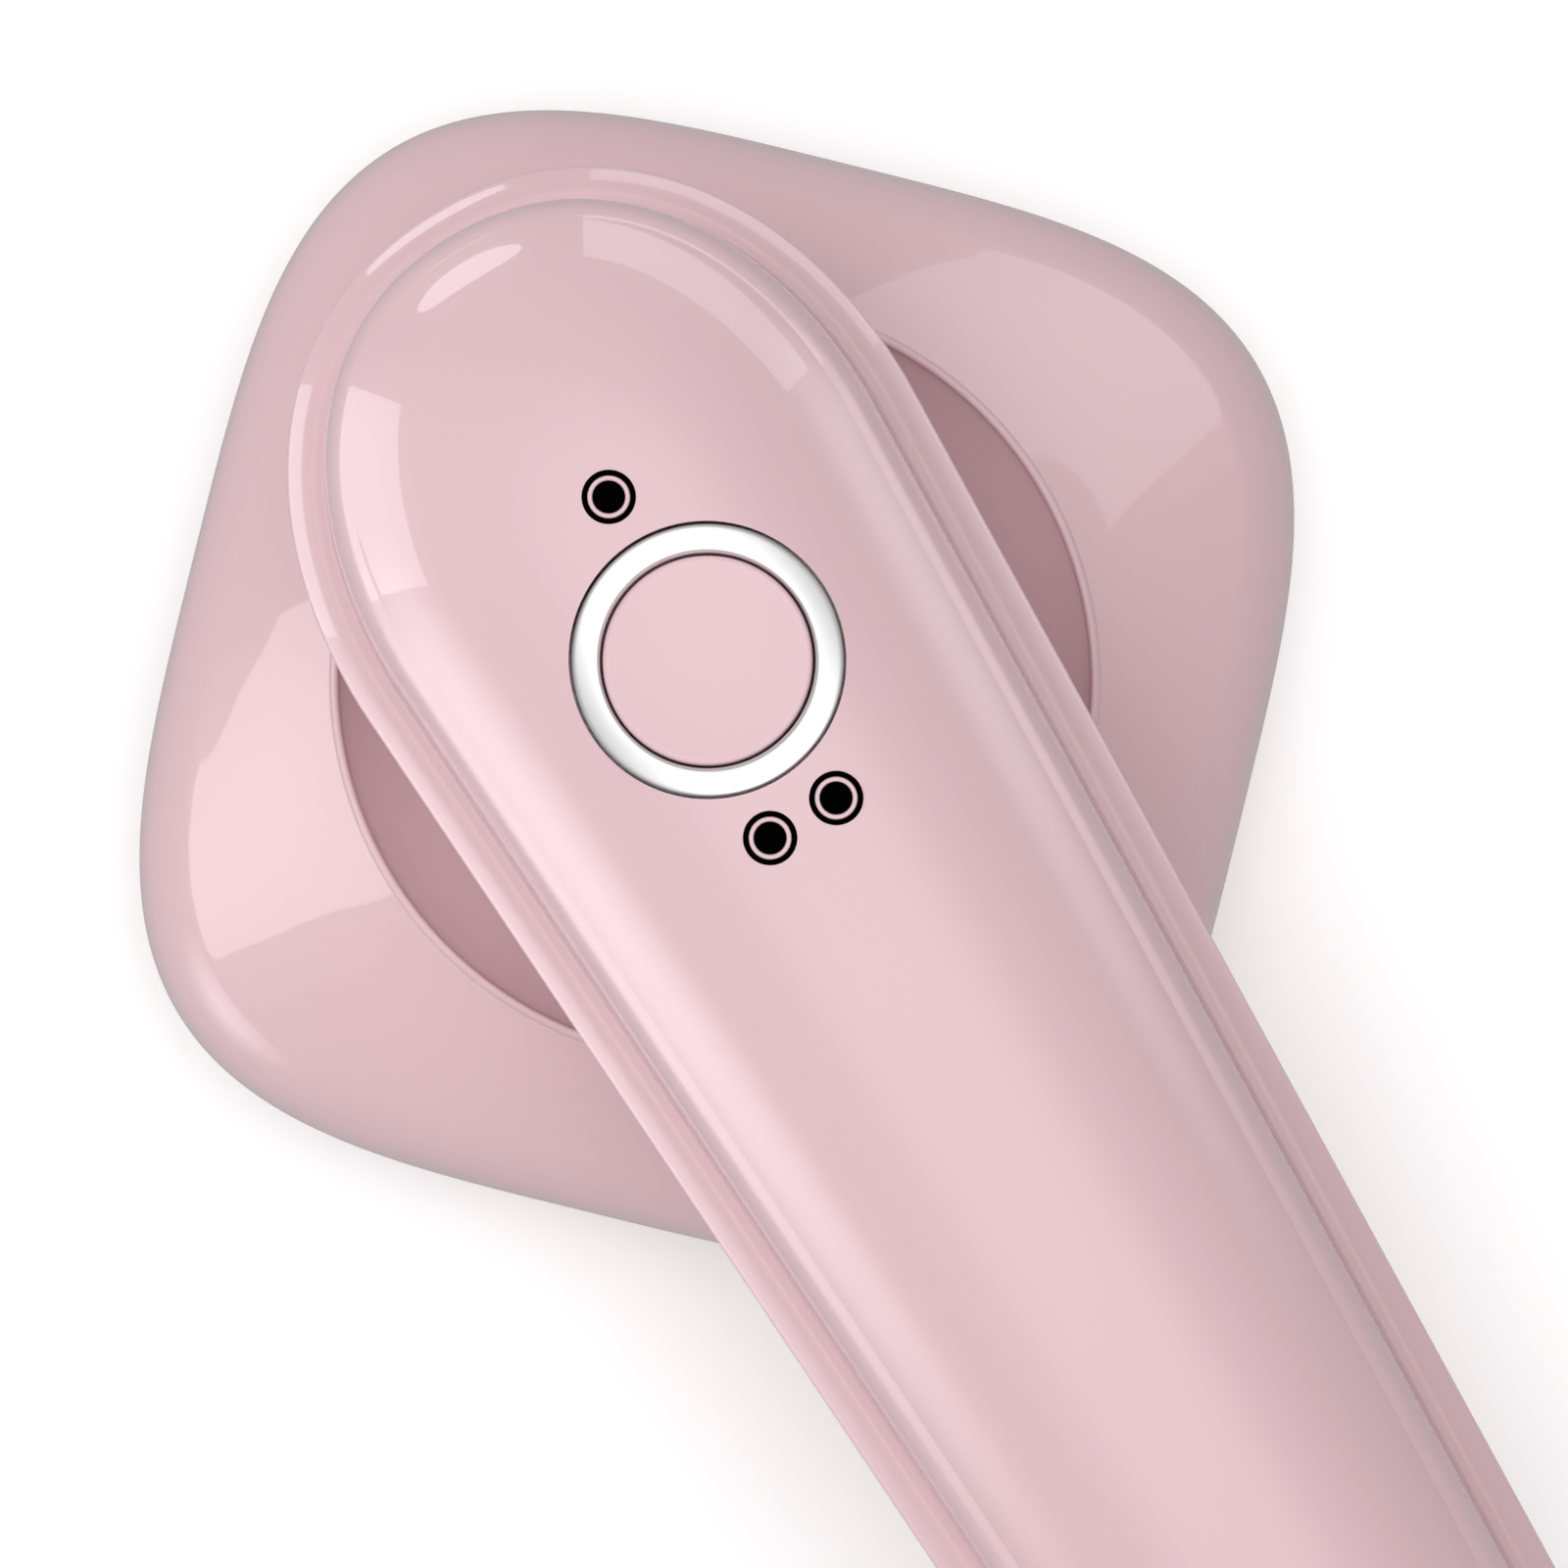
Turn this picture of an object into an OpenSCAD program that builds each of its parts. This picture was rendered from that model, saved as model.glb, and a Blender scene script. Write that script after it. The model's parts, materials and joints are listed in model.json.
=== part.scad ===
// Hand-held garment steamer: a rounded-square steam head under a paddle handle that swivels on it.
// Millimetres. Origin: the swivel axis where it meets the ironing face. +Z up, +Y to the front,
// the handle's tail to -Y. The head's corners point along X and Y, so the handle lies on a diagonal.

/* [Head] */
// Width across the flat sides of the head
head_w = 100; // [94:1:106]
// Squareness of the head's outline, 2 is a circle
head_squareness = 3.6; // [3:0.1:4.5]
// Height of the raised rim round the swivel seat
seat_rim_z = 32; // [31:0.5:34]
// Radius of the raised rim round the swivel seat
seat_r = 32; // [31:0.5:34]
// Wall of the head cover
cover_wall = 2.2; // [1.8:0.1:2.6]

/* [Soleplate] */
// Thickness of the ironing plate
plate_t = 4.5; // [4:0.5:5]
// Radius of a steam hole
steam_hole_r = 1.4; // [1:0.1:1.8]
// Steam holes in the outer ring
outer_holes = 16; // [12:4:20]
// Height of the cast chamber over the plate
chamber_h = 10; // [9:0.5:11]
// Radius of the heating tube
heater_r = 3.2; // [3:0.1:3.5]

/* [Handle] */
// How far the handle reaches ahead of the swivel axis
front_reach = 42.6; // [41:0.2:44]
// How far the handle reaches behind the swivel axis
tail_reach = 137; // [132:1:145]
// Widest part of the handle
handle_w = 50.6; // [50:0.2:54]
// Narrowing of each side for each millimetre of length
side_taper = 0.0456; // [0.04:0.001:0.05]
// Height of the handle's top above the ironing face
handle_top_z = 65; // [64.6:0.1:66]
// Wall of both handle shells
shell_wall = 2; // [1.8:0.1:2.2]

/* [Controls] */
// Outer radius of the ring round the button
ring_r = 10; // [9.5:0.1:10.5]
// Radius of the push button
button_r = 7.7; // [7:0.1:8]
// Radius of an indicator's dark surround
indicator_r = 1.95; // [1.8:0.05:2.2]

/* [Cord and water] */
// Radius of the cord's way through the gland
cord_r = 3.3; // [3:0.1:3.5]
// Inner radius of the filler neck
filler_r = 4; // [3.8:0.1:4.2]
// Turns of the helix in the button's spring
spring_turns = 4; // [3:1:5]

/* [Hidden] */
$fn = 64;

PINK = [0.87, 0.76, 0.78];
SILVER = [0.9, 0.9, 0.91];
STEEL = [0.7, 0.71, 0.73];
ALUMINIUM = [0.78, 0.79, 0.8];
BRASS = [0.8, 0.66, 0.35];
DARK = [0.07, 0.07, 0.08];
WHITE = [0.93, 0.93, 0.92];
CLEAR = [0.8, 0.87, 0.92];
COPPER = [0.72, 0.43, 0.25];
GREEN = [0.1, 0.4, 0.22];
SILICONE = [0.85, 0.5, 0.4];

cut = 0.1;                          // how far a cutter runs past the face it opens
gap = 0.05;                         // running gap between parts that slide
outline_steps = 96;                 // points round the head's outline

// --- heights in the head
frame_z = plate_t;                  // the frame stands on the plate
widest_z = 8.5;                     // the head is widest here
split_z = 12;                       // parting line of frame and cover
chamber_top = plate_t + chamber_h;
gasket_t = 0.6;
lid_t = 1;
lid_z = chamber_top + gasket_t;
seat_floor_z = seat_rim_z - 5;
floor_under_z = seat_floor_z - cover_wall;

// --- radii in the head
half_w = head_w / 2;
plate_half = half_w - 2.4;
edge_round = 1.2;                   // the ironing face's edge is rounded in three steps
frame_wall = 2;
chamber_r = 28.5;
casting_r = 41.5;
heater_path_r = 35.5;
heater_leg_r = heater_r + 0.3;      // the tube's ends are swaged into thicker legs
pillar_r = 3.2;
pillar_path_r = 23;
corner_r = 46.5;                    // circle of the frame's fixings
fixing_angle = 5.5;                 // fixings stand this far either side of each corner

// --- swivel
hub_r = 9;
hub_bore = 6;
hub_flange_r = 17;
hub_screw_path = 13.2;
bush_r = 10.5;
turntable_r = 23;
turntable_z = seat_floor_z + 0.6;
neck_r = 19.5;
stop_path_r = 20;
stop_r = 1.4;
swivel_limit = 90;

// --- handle
rim_z = 46;                         // parting line of the two handle shells
belly_z = 33.5;                     // underside of the handle
floor_z = belly_z + shell_wall;
front_y = 12;                       // centre of the rounded front
tail_round = 16;
tail_y = -tail_reach + tail_round;  // centre of the rounded tail
half_handle = handle_w / 2;
front_power = 2.15;
tail_power = 2.4;
crown_power = 3;
crease_in = 6.3;                    // the crown starts this far inside the parting line
crease_z = 58;

// --- controls
board_z = 52;
board_t = 1.6;
ring_top = handle_top_z - 0.5;
ring_t = 4.4;
button_h = 5.2;
front_led_y = 13.8;
rear_led_y = -13.4;
rear_led_x = 2.8;
INDICATORS = [[0, front_led_y], [rear_led_x, rear_led_y], [-rear_led_x, rear_led_y]];
lens_r = 1.2;
sleeve_r = 1.56;

// --- water
tank_front = -53;
tank_back = -108;
tank_z = 38.5;
tank_top = 52;
tank_wall = 1.5;
filler_y = -92;
hinge_y = -106;
hinge_z = 34.9;
pump_z = 45;
pump_back = -46;
hose_r = 2;
nozzle_r = 1.2;

// ---------------------------------------------------------------- shapes used by several parts

// Distance from the axis to a squircle's outline at an angle from its flat side.
function squircle_r(half, a) =
    half / pow(pow(abs(cos(a)), head_squareness) + pow(abs(sin(a)), head_squareness),
               1 / head_squareness);

// Outline of the head at a given half width, corners on X and Y.
function squircle(half, steps = outline_steps) =
    [for (i = [0 : steps - 1]) let (a = i * 360 / steps) squircle_r(half, a + 45) * [cos(a), sin(a)]];

// A ring between the squircle (mix 0) and a circle of radius r (mix 1), at height z.
function head_ring(half, r, mix, z) =
    [for (i = [0 : outline_steps - 1]) let (a = i * 360 / outline_steps,
            reach = squircle_r(half, a + 45) * (1 - mix) + r * mix)
        [reach * cos(a), reach * sin(a), z]];

// Half width of the handle at y, before its ends are rounded.
function side(y) = half_handle - (front_y - y) * side_taper;

// One rounded end: a superellipse arc from angle a0 to a1.
function end_arc(w, depth, cy, power, a0, a1, steps) =
    [for (i = [0 : steps]) let (a = a0 + (a1 - a0) * i / steps)
        [w * sign(cos(a)) * pow(abs(cos(a)), 2 / power),
         cy + depth * sign(sin(a)) * pow(abs(sin(a)), 2 / power)]];

// Outline of the handle, set in by inset and then shrunk by f towards its middle line.
function handle_outline(inset, f = 1) = concat(
    end_arc((side(front_y) - inset) * f, (front_reach - front_y - inset) * f, front_y,
            front_power, 0, 180, 28),
    end_arc((side(tail_y) - inset) * f, (tail_round - inset) * f, tail_y,
            tail_power, 180, 360, 20));

function lift(outline, z) = [for (p = outline) [p.x, p.y, z]];

// Height of the crown where the middle line is at f = 0 and the crease at f = 1.
function crown_z(f) = crease_z + (handle_top_z - crease_z) * (1 - pow(f, crown_power));

// A closed solid over rings of points, bottom ring first.
module loft(rings) {
    n = len(rings[0]);
    top = len(rings) - 1;
    sides = [for (j = [0 : top - 1]) for (i = [0 : n - 1]) let (k = (i + 1) % n)
        each [[j * n + i, (j + 1) * n + i, j * n + k],
              [j * n + k, (j + 1) * n + i, (j + 1) * n + k]]];
    base = [for (i = [0 : n - 1]) i];
    cap = [for (i = [n - 1 : -1 : 0]) top * n + i];
    polyhedron(points = [for (r = rings) each r], faces = concat([base], sides, [cap]));
}

// Points of a smooth curve through the given ones.
function smooth_at(p, i, t) =
    let (a = p[max(i - 1, 0)], b = p[i], c = p[i + 1], d = p[min(i + 2, len(p) - 1)])
    0.5 * (2 * b + (c - a) * t + (2 * a - 5 * b + 4 * c - d) * t * t
           + (3 * b - a - 3 * c + d) * t * t * t);
function smooth(p, steps) = concat(
    [for (i = [0 : len(p) - 2]) for (k = [0 : steps - 1]) smooth_at(p, i, k / steps)],
    [p[len(p) - 1]]);

function unit(v) = v / norm(v);
function heading(p, i) = unit(p[min(i + 1, len(p) - 1)] - p[max(i - 1, 0)]);

// A round wire or tube along a path; no path here runs along side_dir.
module wire(path, r, side_dir = [1, 0, 0], corners = 8) {
    loft([for (i = [0 : len(path) - 1])
        let (t = heading(path, i), u = unit(cross(t, side_dir)), v = cross(t, u))
        [for (k = [0 : corners - 1]) let (a = k * 360 / corners)
            path[i] + r * (cos(a) * u + sin(a) * v)]]);
}

module tube(outer, inner, h) {
    difference() {
        cylinder(r = outer, h = h);
        translate([0, 0, -cut]) cylinder(r = inner, h = h + 2 * cut);
    }
}

// A pan-head screw, the head's underside at z = 0 and the shank below it.
module screw(r, length, head_r, head_h) {
    translate([0, 0, -length]) cylinder(r = r, h = length + cut);
    difference() {
        cylinder(r = head_r, h = head_h);
        for (a = [0, 90]) rotate(a) translate([-head_r * 0.6, -head_r * 0.12, head_h * 0.45])
            cube([head_r * 1.2, head_r * 0.24, head_h]);
    }
}

module around(count, r, start = 0) {
    for (i = [0 : count - 1]) rotate(start + i * 360 / count) translate([r, 0, 0]) children();
}

// ---------------------------------------------------------------- head

module steam_holes(count, ring, start = 0) {
    around(count, ring, start) translate([0, 0, -cut]) cylinder(r = steam_hole_r, h = plate_t + 2 * cut);
}

module plate_blank() {
    for (step = [0 : 2]) {
        low = edge_round * [0, 0.25, 0.6][step];
        translate([0, 0, low]) linear_extrude(plate_t - low)
            polygon(squircle(plate_half - edge_round * [1, 0.45, 0][step], 2 * outline_steps));
    }
    translate([0, 0, plate_t - 1]) cylinder(r = casting_r, h = chamber_h + 1);
}

module soleplate() {
    color(ALUMINIUM) {
        difference() {
            plate_blank();
            translate([0, 0, plate_t]) cylinder(r = chamber_r, h = chamber_h + cut);
            // groove that the heating tube is pressed into, open at the top
            translate([0, 0, plate_t + 1]) rotate(110) rotate_extrude(angle = 320)
                translate([heater_path_r - heater_r - gap, 0]) square([2 * (heater_r + gap), chamber_h]);
            for (a = [110, 70]) rotate(a) translate([heater_path_r, 0, plate_t + 0.9])
                cylinder(r = heater_leg_r + 2 * gap, h = chamber_h);
            steam_holes(outer_holes, 26, 11.25);
            steam_holes(8, 18.6);
            steam_holes(6, 9);
            around(4, corner_r, -fixing_angle) translate([0, 0, 1.5]) cylinder(r = 1.3, h = plate_t);
        }
        // pillars for the lid's screws, and the two arcs of the steam labyrinth
        around(4, pillar_path_r, 45) translate([0, 0, plate_t - 1]) difference() {
            cylinder(r = pillar_r, h = chamber_h + 1);
            translate([0, 0, chamber_h - 5]) cylinder(r = 1.3, h = 7);
        }
        for (a = [12, 192]) translate([0, 0, plate_t - 1]) rotate(a) rotate_extrude(angle = 156)
            translate([13.2, 0]) square([1.6, chamber_h - 1]);
    }
}

module heating_element() {
    base = plate_t + 1 + heater_r;
    color(STEEL) translate([0, 0, base]) rotate(110) rotate_extrude(angle = 320)
        translate([heater_path_r, 0]) circle(r = heater_r);
    for (a = [110, 70]) rotate(a) translate([heater_path_r, 0, plate_t + 1]) {
        color(STEEL) translate([0, 0, -gap]) cylinder(r = heater_leg_r, h = heater_r + 6.5);
        color(BRASS) translate([0, 0, heater_r + 6]) cylinder(r = 1, h = 4.5);
    }
}

module chamber_gasket() {
    color(SILICONE) translate([0, 0, chamber_top]) difference() {
        union() {
            tube(31.4, chamber_r, gasket_t);
            around(4, pillar_path_r, 45) cylinder(r = pillar_r, h = gasket_t);
            around(4, pillar_path_r, 45) translate([2.4, -1, 0]) cube([4, 2, gasket_t]);
        }
        around(4, pillar_path_r, 45) translate([0, 0, -cut]) cylinder(r = 1.4, h = 2);
    }
}

module chamber_lid() {
    color(STEEL) translate([0, 0, lid_z]) difference() {
        cylinder(r = 31.4, h = lid_t);
        translate([0, 0, -cut]) cylinder(r = 2.6, h = 2);
        around(4, pillar_path_r, 45) translate([0, 0, -cut]) cylinder(r = 1.4, h = 2);
    }
}

module lid_screws() {
    color(STEEL) around(4, pillar_path_r, 45) translate([0, 0, lid_z + lid_t]) screw(1.25, 6.5, 2.6, 1.4);
}

module inlet_nozzle() {
    color(BRASS) difference() {
        union() {
            translate([0, 0, lid_z - 2.4]) cylinder(r = 2.5, h = 2.4 + lid_t + cut);
            translate([0, 0, lid_z + lid_t]) cylinder(r = 4, h = 1, $fn = 6);
            translate([0, 0, lid_z + lid_t]) cylinder(r = nozzle_r, h = 5.2);
        }
        translate([0, 0, lid_z - 3]) cylinder(r = 0.6, h = 12);
    }
}

module thermostat() {
    translate([-21.4, 0, lid_z + lid_t]) {
        color(ALUMINIUM) cylinder(r = 6.6, h = 2);
        color(DARK) translate([0, 0, 2]) cylinder(r = 6, h = 3);
        color(BRASS) for (s = [-1, 1]) translate([-1.2, s * 3.6 - 0.4, 5]) cube([2.4, 0.8, 1.4]);
    }
}

module thermal_fuse() {
    color(WHITE) translate([-4.5, -17, lid_z + lid_t + 2]) rotate([0, 90, 0]) {
        cylinder(r = 2, h = 9);
        translate([0, 0, -4]) cylinder(r = 0.5, h = 17);
    }
}

// Lead routes inside the head, below the swivel.
HEAD_LEADS = [
    [[-5.2, -1.4, 19], [-9, -6.5, 18.9], [-16, -10, 19.6], [-23.5, -8.6, 21.6], [-21.8, -3.8, 23.3]],
    [[-21.8, 3.8, 23.3], [-24, 9, 22], [-20, 20, 20.8], [-14.5, 28.5, 20.2], [-12.2, 32.6, 20.1]],
    [[5.2, 1.4, 19], [10, 5, 18.9], [15, 13, 19.4], [16, 24, 20.1], [13.2, 31, 20.2], [12.2, 33, 20.2]]
];

module heater_leads() {
    color(WHITE) for (route = HEAD_LEADS) wire(smooth(route, 4), 0.75, [0, 0, 1]);
}

module heat_shield() {
    color(STEEL) difference() {
        translate([0, 0, floor_under_z - 4.9]) tube(21.5, 7, 0.5);
        // ways for the thermostat, the fuse and the leads
        translate([-26, -12, floor_under_z - 6]) cube([17, 36, 3]);
        translate([0, 0, floor_under_z - 6]) cube([22, 26, 3]);
        translate([-8, -24, floor_under_z - 6]) cube([16, 12.6, 3]);
    }
}

module base_frame() {
    inner = half_w - 1.5 - frame_wall;
    color(PINK) difference() {
        union() {
            difference() {
                loft([head_ring(half_w - 1.4, 0, 0, frame_z + 0.3),
                      head_ring(half_w - 0.3, 0, 0, frame_z + 2),
                      head_ring(half_w, 0, 0, widest_z),
                      head_ring(half_w - 0.5, 0, 0, split_z - 1.4),
                      head_ring(half_w - 1.4, 0, 0, split_z)]);
                translate([0, 0, frame_z]) linear_extrude(split_z) polygon(squircle(inner));
            }
            // flat flange that carries the fixings
            translate([0, 0, frame_z + 0.6]) linear_extrude(1.9) polygon(squircle(inner + 0.6));
        }
        translate([0, 0, frame_z]) cylinder(r = casting_r + 0.6, h = 10);
        around(4, corner_r, -fixing_angle) translate([0, 0, frame_z]) cylinder(r = 1.4, h = 10);
        around(4, corner_r, fixing_angle) translate([0, 0, frame_z]) {
            cylinder(r = 1.4, h = 10);
            cylinder(r = 2.7, h = 1.9);
        }
    }
}

module plate_screws() {
    color(STEEL) around(4, corner_r, -fixing_angle) translate([0, 0, frame_z + 2.5])
        screw(1.25, 5, 2.6, 1.5);
}

module cover_screws() {
    color(STEEL) around(4, corner_r, fixing_angle) translate([0, 0, frame_z + 1.8])
        mirror([0, 0, 1]) screw(1.25, 9, 2.5, 1.4);
}

// Outer skin of the head cover, from the parting line up to the rim of the seat.
function cover_rings(set_in, drop) = [
    head_ring(half_w - 1.4 - set_in, 0, 0, split_z - (drop > 0 ? cut : 0)),
    head_ring(half_w - 0.9 - set_in, 0, 0, split_z + 2),
    head_ring(half_w - 1.3 - set_in, 0, 0, split_z + 4.5 - drop * 0.2),
    head_ring(half_w - 2.5 - set_in, 0, 0, split_z + 7.6 - drop * 0.4),
    head_ring(half_w - 4.2 - set_in, 0, 0, split_z + 10.6 - drop * 0.6),
    head_ring(half_w - 6 - set_in, 0, 0, split_z + 12.8 - drop * 0.8),
    head_ring(half_w - 7.4 - set_in, 0, 0, split_z + 13.9 - drop),
    head_ring(half_w - 8.2 - set_in, seat_r + 1.6, 0.5, seat_rim_z - 3.2 - drop),
    head_ring(half_w, seat_r + 1.4, 1, seat_rim_z - 0.7 - drop),
    head_ring(half_w, seat_r + 0.3, 1, seat_rim_z - drop)
];

// The wall and floor of the seat, before the seat itself is cut into it.
module seat_blank() {
    translate([0, 0, floor_under_z]) cylinder(r = seat_r + 0.6, h = seat_rim_z - floor_under_z - 0.9);
}

module head_cover() {
    seat_depth = seat_rim_z - seat_floor_z;
    color(PINK) difference() {
        union() {
            difference() {
                loft(cover_rings(0, 0));
                loft(cover_rings(cover_wall, cover_wall));
            }
            seat_blank();
            // screw bosses, trimmed to the skin
            intersection() {
                around(4, corner_r, fixing_angle) translate([0, 0, frame_z + 2.5]) difference() {
                    cylinder(r = 3, h = 20);
                    translate([0, 0, -cut]) cylinder(r = 1.3, h = 8.5);
                }
                union() {
                    loft(cover_rings(0, 0));
                    cylinder(r = half_w + 2, h = split_z + cut);
                }
            }
        }
        translate([0, 0, seat_floor_z])
            cylinder(r1 = seat_r - 8.4, r2 = seat_r + 0.2, h = seat_depth + cut);
        translate([0, 0, floor_under_z - cut]) cylinder(r = hub_r + 0.1, h = 10);
        around(4, hub_screw_path, 45) translate([0, 0, floor_under_z - cut]) {
            cylinder(r = 1.5, h = 10);
            translate([0, 0, cut + cover_wall - 1.3]) cylinder(r1 = 1.5, r2 = 2.8, h = 1.4);
        }
        // arc that the stop pin runs in
        translate([0, 0, seat_floor_z - 1.5]) rotate(90 - swivel_limit - 5)
            rotate_extrude(angle = 2 * swivel_limit + 10)
                translate([stop_path_r - stop_r - 0.3, 0]) square([2 * stop_r + 0.6, 3]);
    }
}

module swivel_hub() {
    groove_z = turntable_z + 11.5;
    color(WHITE) difference() {
        union() {
            translate([0, 0, floor_under_z - 3.5]) cylinder(r = hub_flange_r, h = 3.5);
            translate([0, 0, floor_under_z - cut]) cylinder(r = hub_r, h = groove_z + 3 - floor_under_z);
        }
        translate([0, 0, floor_under_z - 5]) cylinder(r = hub_bore, h = 30);
        translate([0, 0, groove_z]) tube(hub_r + 1, hub_r - 0.9, 1.1);
        around(4, hub_screw_path, 45) translate([0, 0, floor_under_z - 3]) cylinder(r = 1.3, h = 4);
    }
}

module hub_screws() {
    color(STEEL) around(4, hub_screw_path, 45) translate([0, 0, seat_floor_z - 0.1]) {
        translate([0, 0, -1.2]) cylinder(r1 = 1.25, r2 = 2.5, h = 1.2);
        translate([0, 0, -5]) cylinder(r = 1.25, h = 3.9);
    }
}

module hub_circlip() {
    color(STEEL) translate([0, 0, turntable_z + 11.55]) difference() {
        tube(11, hub_r - 0.85, 1);
        translate([-2, 0, -cut]) cube([4, 14, 2]);
        for (s = [-1, 1]) translate([s * 3.2, 9.7, -cut]) cylinder(r = 0.6, h = 2);
    }
}

module spring_washer() {
    color(STEEL) translate([0, 0, turntable_z + 11.1]) tube(12, hub_r + 0.25, 0.4);
}

module friction_washer() {
    color(WHITE) translate([0, 0, seat_floor_z]) difference() {
        tube(17.5, hub_r + 0.25, 0.55);
        around(4, hub_screw_path, 45) translate([0, 0, -cut]) cylinder(r = 2.7, h = 1);
    }
}

// ---------------------------------------------------------------- swivel side of the handle

module turntable() {
    color(PINK) difference() {
        union() {
            translate([0, 0, turntable_z]) cylinder(r = turntable_r, h = 3.4);
            translate([0, 0, turntable_z + 3.3]) cylinder(r = neck_r, h = belly_z - turntable_z - 3.3);
            translate([0, 0, belly_z - cut]) cylinder(r = 13.4, h = 2.6);
        }
        translate([0, 0, turntable_z - cut]) cylinder(r = bush_r, h = 20);
        around(4, 16.2, 45) translate([0, 0, turntable_z + 1]) cylinder(r = 1.3, h = 20);
        translate([0, stop_path_r, turntable_z - cut]) cylinder(r = stop_r, h = 2.6);
    }
}

module swivel_bush() {
    color(WHITE) translate([0, 0, turntable_z]) {
        tube(bush_r, hub_r + gap, 11);
        translate([0, 0, belly_z + 2.5 - turntable_z]) tube(12.4, bush_r - cut, 1.2);
    }
}

module turntable_screws() {
    color(STEEL) around(4, 16.2, 45) translate([0, 0, floor_z]) screw(1.25, 6, 2.5, 1.5);
}

module stop_pin() {
    color(STEEL) translate([0, stop_path_r, seat_floor_z - 1.2]) cylinder(r = stop_r, h = 4.2);
}

// ---------------------------------------------------------------- handle shells

function lower_rings(set_in) = [
    lift(handle_outline(9 + set_in * 0.5), belly_z + (set_in > 0 ? shell_wall : 0)),
    lift(handle_outline(5.6 + set_in * 0.8), belly_z + 1 + set_in * 0.8),
    lift(handle_outline(2.8 + set_in), belly_z + 3.6 + set_in * 0.5),
    lift(handle_outline(1.1 + set_in), belly_z + 7.2),
    lift(handle_outline(0.3 + set_in), rim_z - 1.5),
    lift(handle_outline(0.3 + set_in), rim_z + (set_in > 0 ? cut : 0))
];

function upper_rings(set_in) = concat([
    // edge bead and the ledge above it
    lift(handle_outline(set_in), rim_z - (set_in > 0 ? cut : 0)),
    lift(handle_outline(set_in), rim_z + 1.3 - set_in * 0.3),
    lift(handle_outline(0.6 + set_in), rim_z + 2 - set_in * 0.6),
    lift(handle_outline(3 + set_in), rim_z + 1.7 - set_in * 0.5),
    // side wall and its shoulder
    lift(handle_outline(3.5 + set_in), rim_z + 4 - set_in * 0.6),
    lift(handle_outline(3.9 + set_in), rim_z + 6.8 - set_in * 0.6),
    lift(handle_outline(4.7 + set_in), rim_z + 9.9 - set_in * 0.7),
    lift(handle_outline(crease_in + set_in), crease_z - set_in * 0.8)
], [for (f = [0.95, 0.89, 0.8, 0.68, 0.52, 0.34, 0.16, 0.02])
    lift(handle_outline(crease_in + set_in, f), crown_z(f) - set_in)]);

SHELL_POSTS = [[-12, 27], [12, 27], [-14.8, -47.8], [14.8, -47.8], [-10.5, -113.5], [10.5, -113.5]];

module handle_lower_shell() {
    color(PINK) difference() {
        union() {
            difference() {
                loft(lower_rings(0));
                loft(lower_rings(shell_wall));
            }
            // floor under the filler's hinge, and posts for the shell screws
            translate([-9.5, hinge_y - 4.6, belly_z + 0.5]) cube([19, 8, 4.3]);
            for (p = SHELL_POSTS) translate([p.x, p.y, floor_z - 0.5])
                cylinder(r = 2.6, h = rim_z - floor_z);
        }
        translate([0, 0, belly_z - cut]) cylinder(r = 13.5, h = 4);
        around(4, 16.2, 45) translate([0, 0, belly_z - cut]) cylinder(r = 1.4, h = 4);
        for (p = SHELL_POSTS) translate([p.x, p.y, belly_z - cut]) {
            cylinder(r = 1.4, h = 20);
            cylinder(r = 2.6, h = 1.8);
        }
        // filler opening, the seat of its flap and the pocket of its hinge
        translate([0, filler_y, belly_z - cut]) cylinder(r = filler_r + 2.2, h = 4);
        translate([-7.3, hinge_y, belly_z - cut]) cube([14.6, 22.6, 1.4 + cut]);
        translate([-7.3, hinge_y - 3, belly_z - cut]) cube([14.6, 4.8, 3.4 + cut]);
        translate([-8.6, hinge_y, hinge_z]) rotate([0, 90, 0]) cylinder(r = 0.6, h = 17.2);
        translate([0, -tail_reach + 8, rim_z]) rotate([90, 0, 0]) cylinder(r = 5.6, h = 12);
    }
}

module handle_upper_shell() {
    color(PINK) difference() {
        union() {
            difference() {
                loft(upper_rings(0));
                loft(upper_rings(shell_wall));
            }
            // screw posts, trimmed to the skin
            intersection() {
                for (p = SHELL_POSTS) translate([p.x, p.y, rim_z - 0.4]) cylinder(r = 2.6, h = 16);
                loft(upper_rings(0));
            }
        }
        translate([0, 0, board_z]) cylinder(r = ring_r + 0.1, h = 20);
        for (p = INDICATORS) translate([p.x, p.y, board_z]) cylinder(r = indicator_r, h = 20);
        for (p = SHELL_POSTS) translate([p.x, p.y, rim_z - 1]) cylinder(r = 1.3, h = 7);
        translate([0, -tail_reach + 8, rim_z]) rotate([90, 0, 0]) cylinder(r = 5.6, h = 12);
    }
}

module shell_screws() {
    color(STEEL) for (p = SHELL_POSTS) translate([p.x, p.y, belly_z + 1.7])
        mirror([0, 0, 1]) screw(1.25, 16, 2.4, 1.3);
}

// ---------------------------------------------------------------- water

function tank_side(y) = side(y) - 7;

module tank_outline(set_in) {
    front = tank_side(tank_front) - set_in;
    back = tank_side(tank_back) - set_in;
    y1 = tank_front - set_in;
    y0 = tank_back + set_in;
    bevel = 2;
    polygon([[-front + bevel, y1], [-front, y1 - bevel], [-back, y0 + bevel], [-back + bevel, y0],
             [back - bevel, y0], [back, y0 + bevel], [front, y1 - bevel], [front - bevel, y1]]);
}

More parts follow.
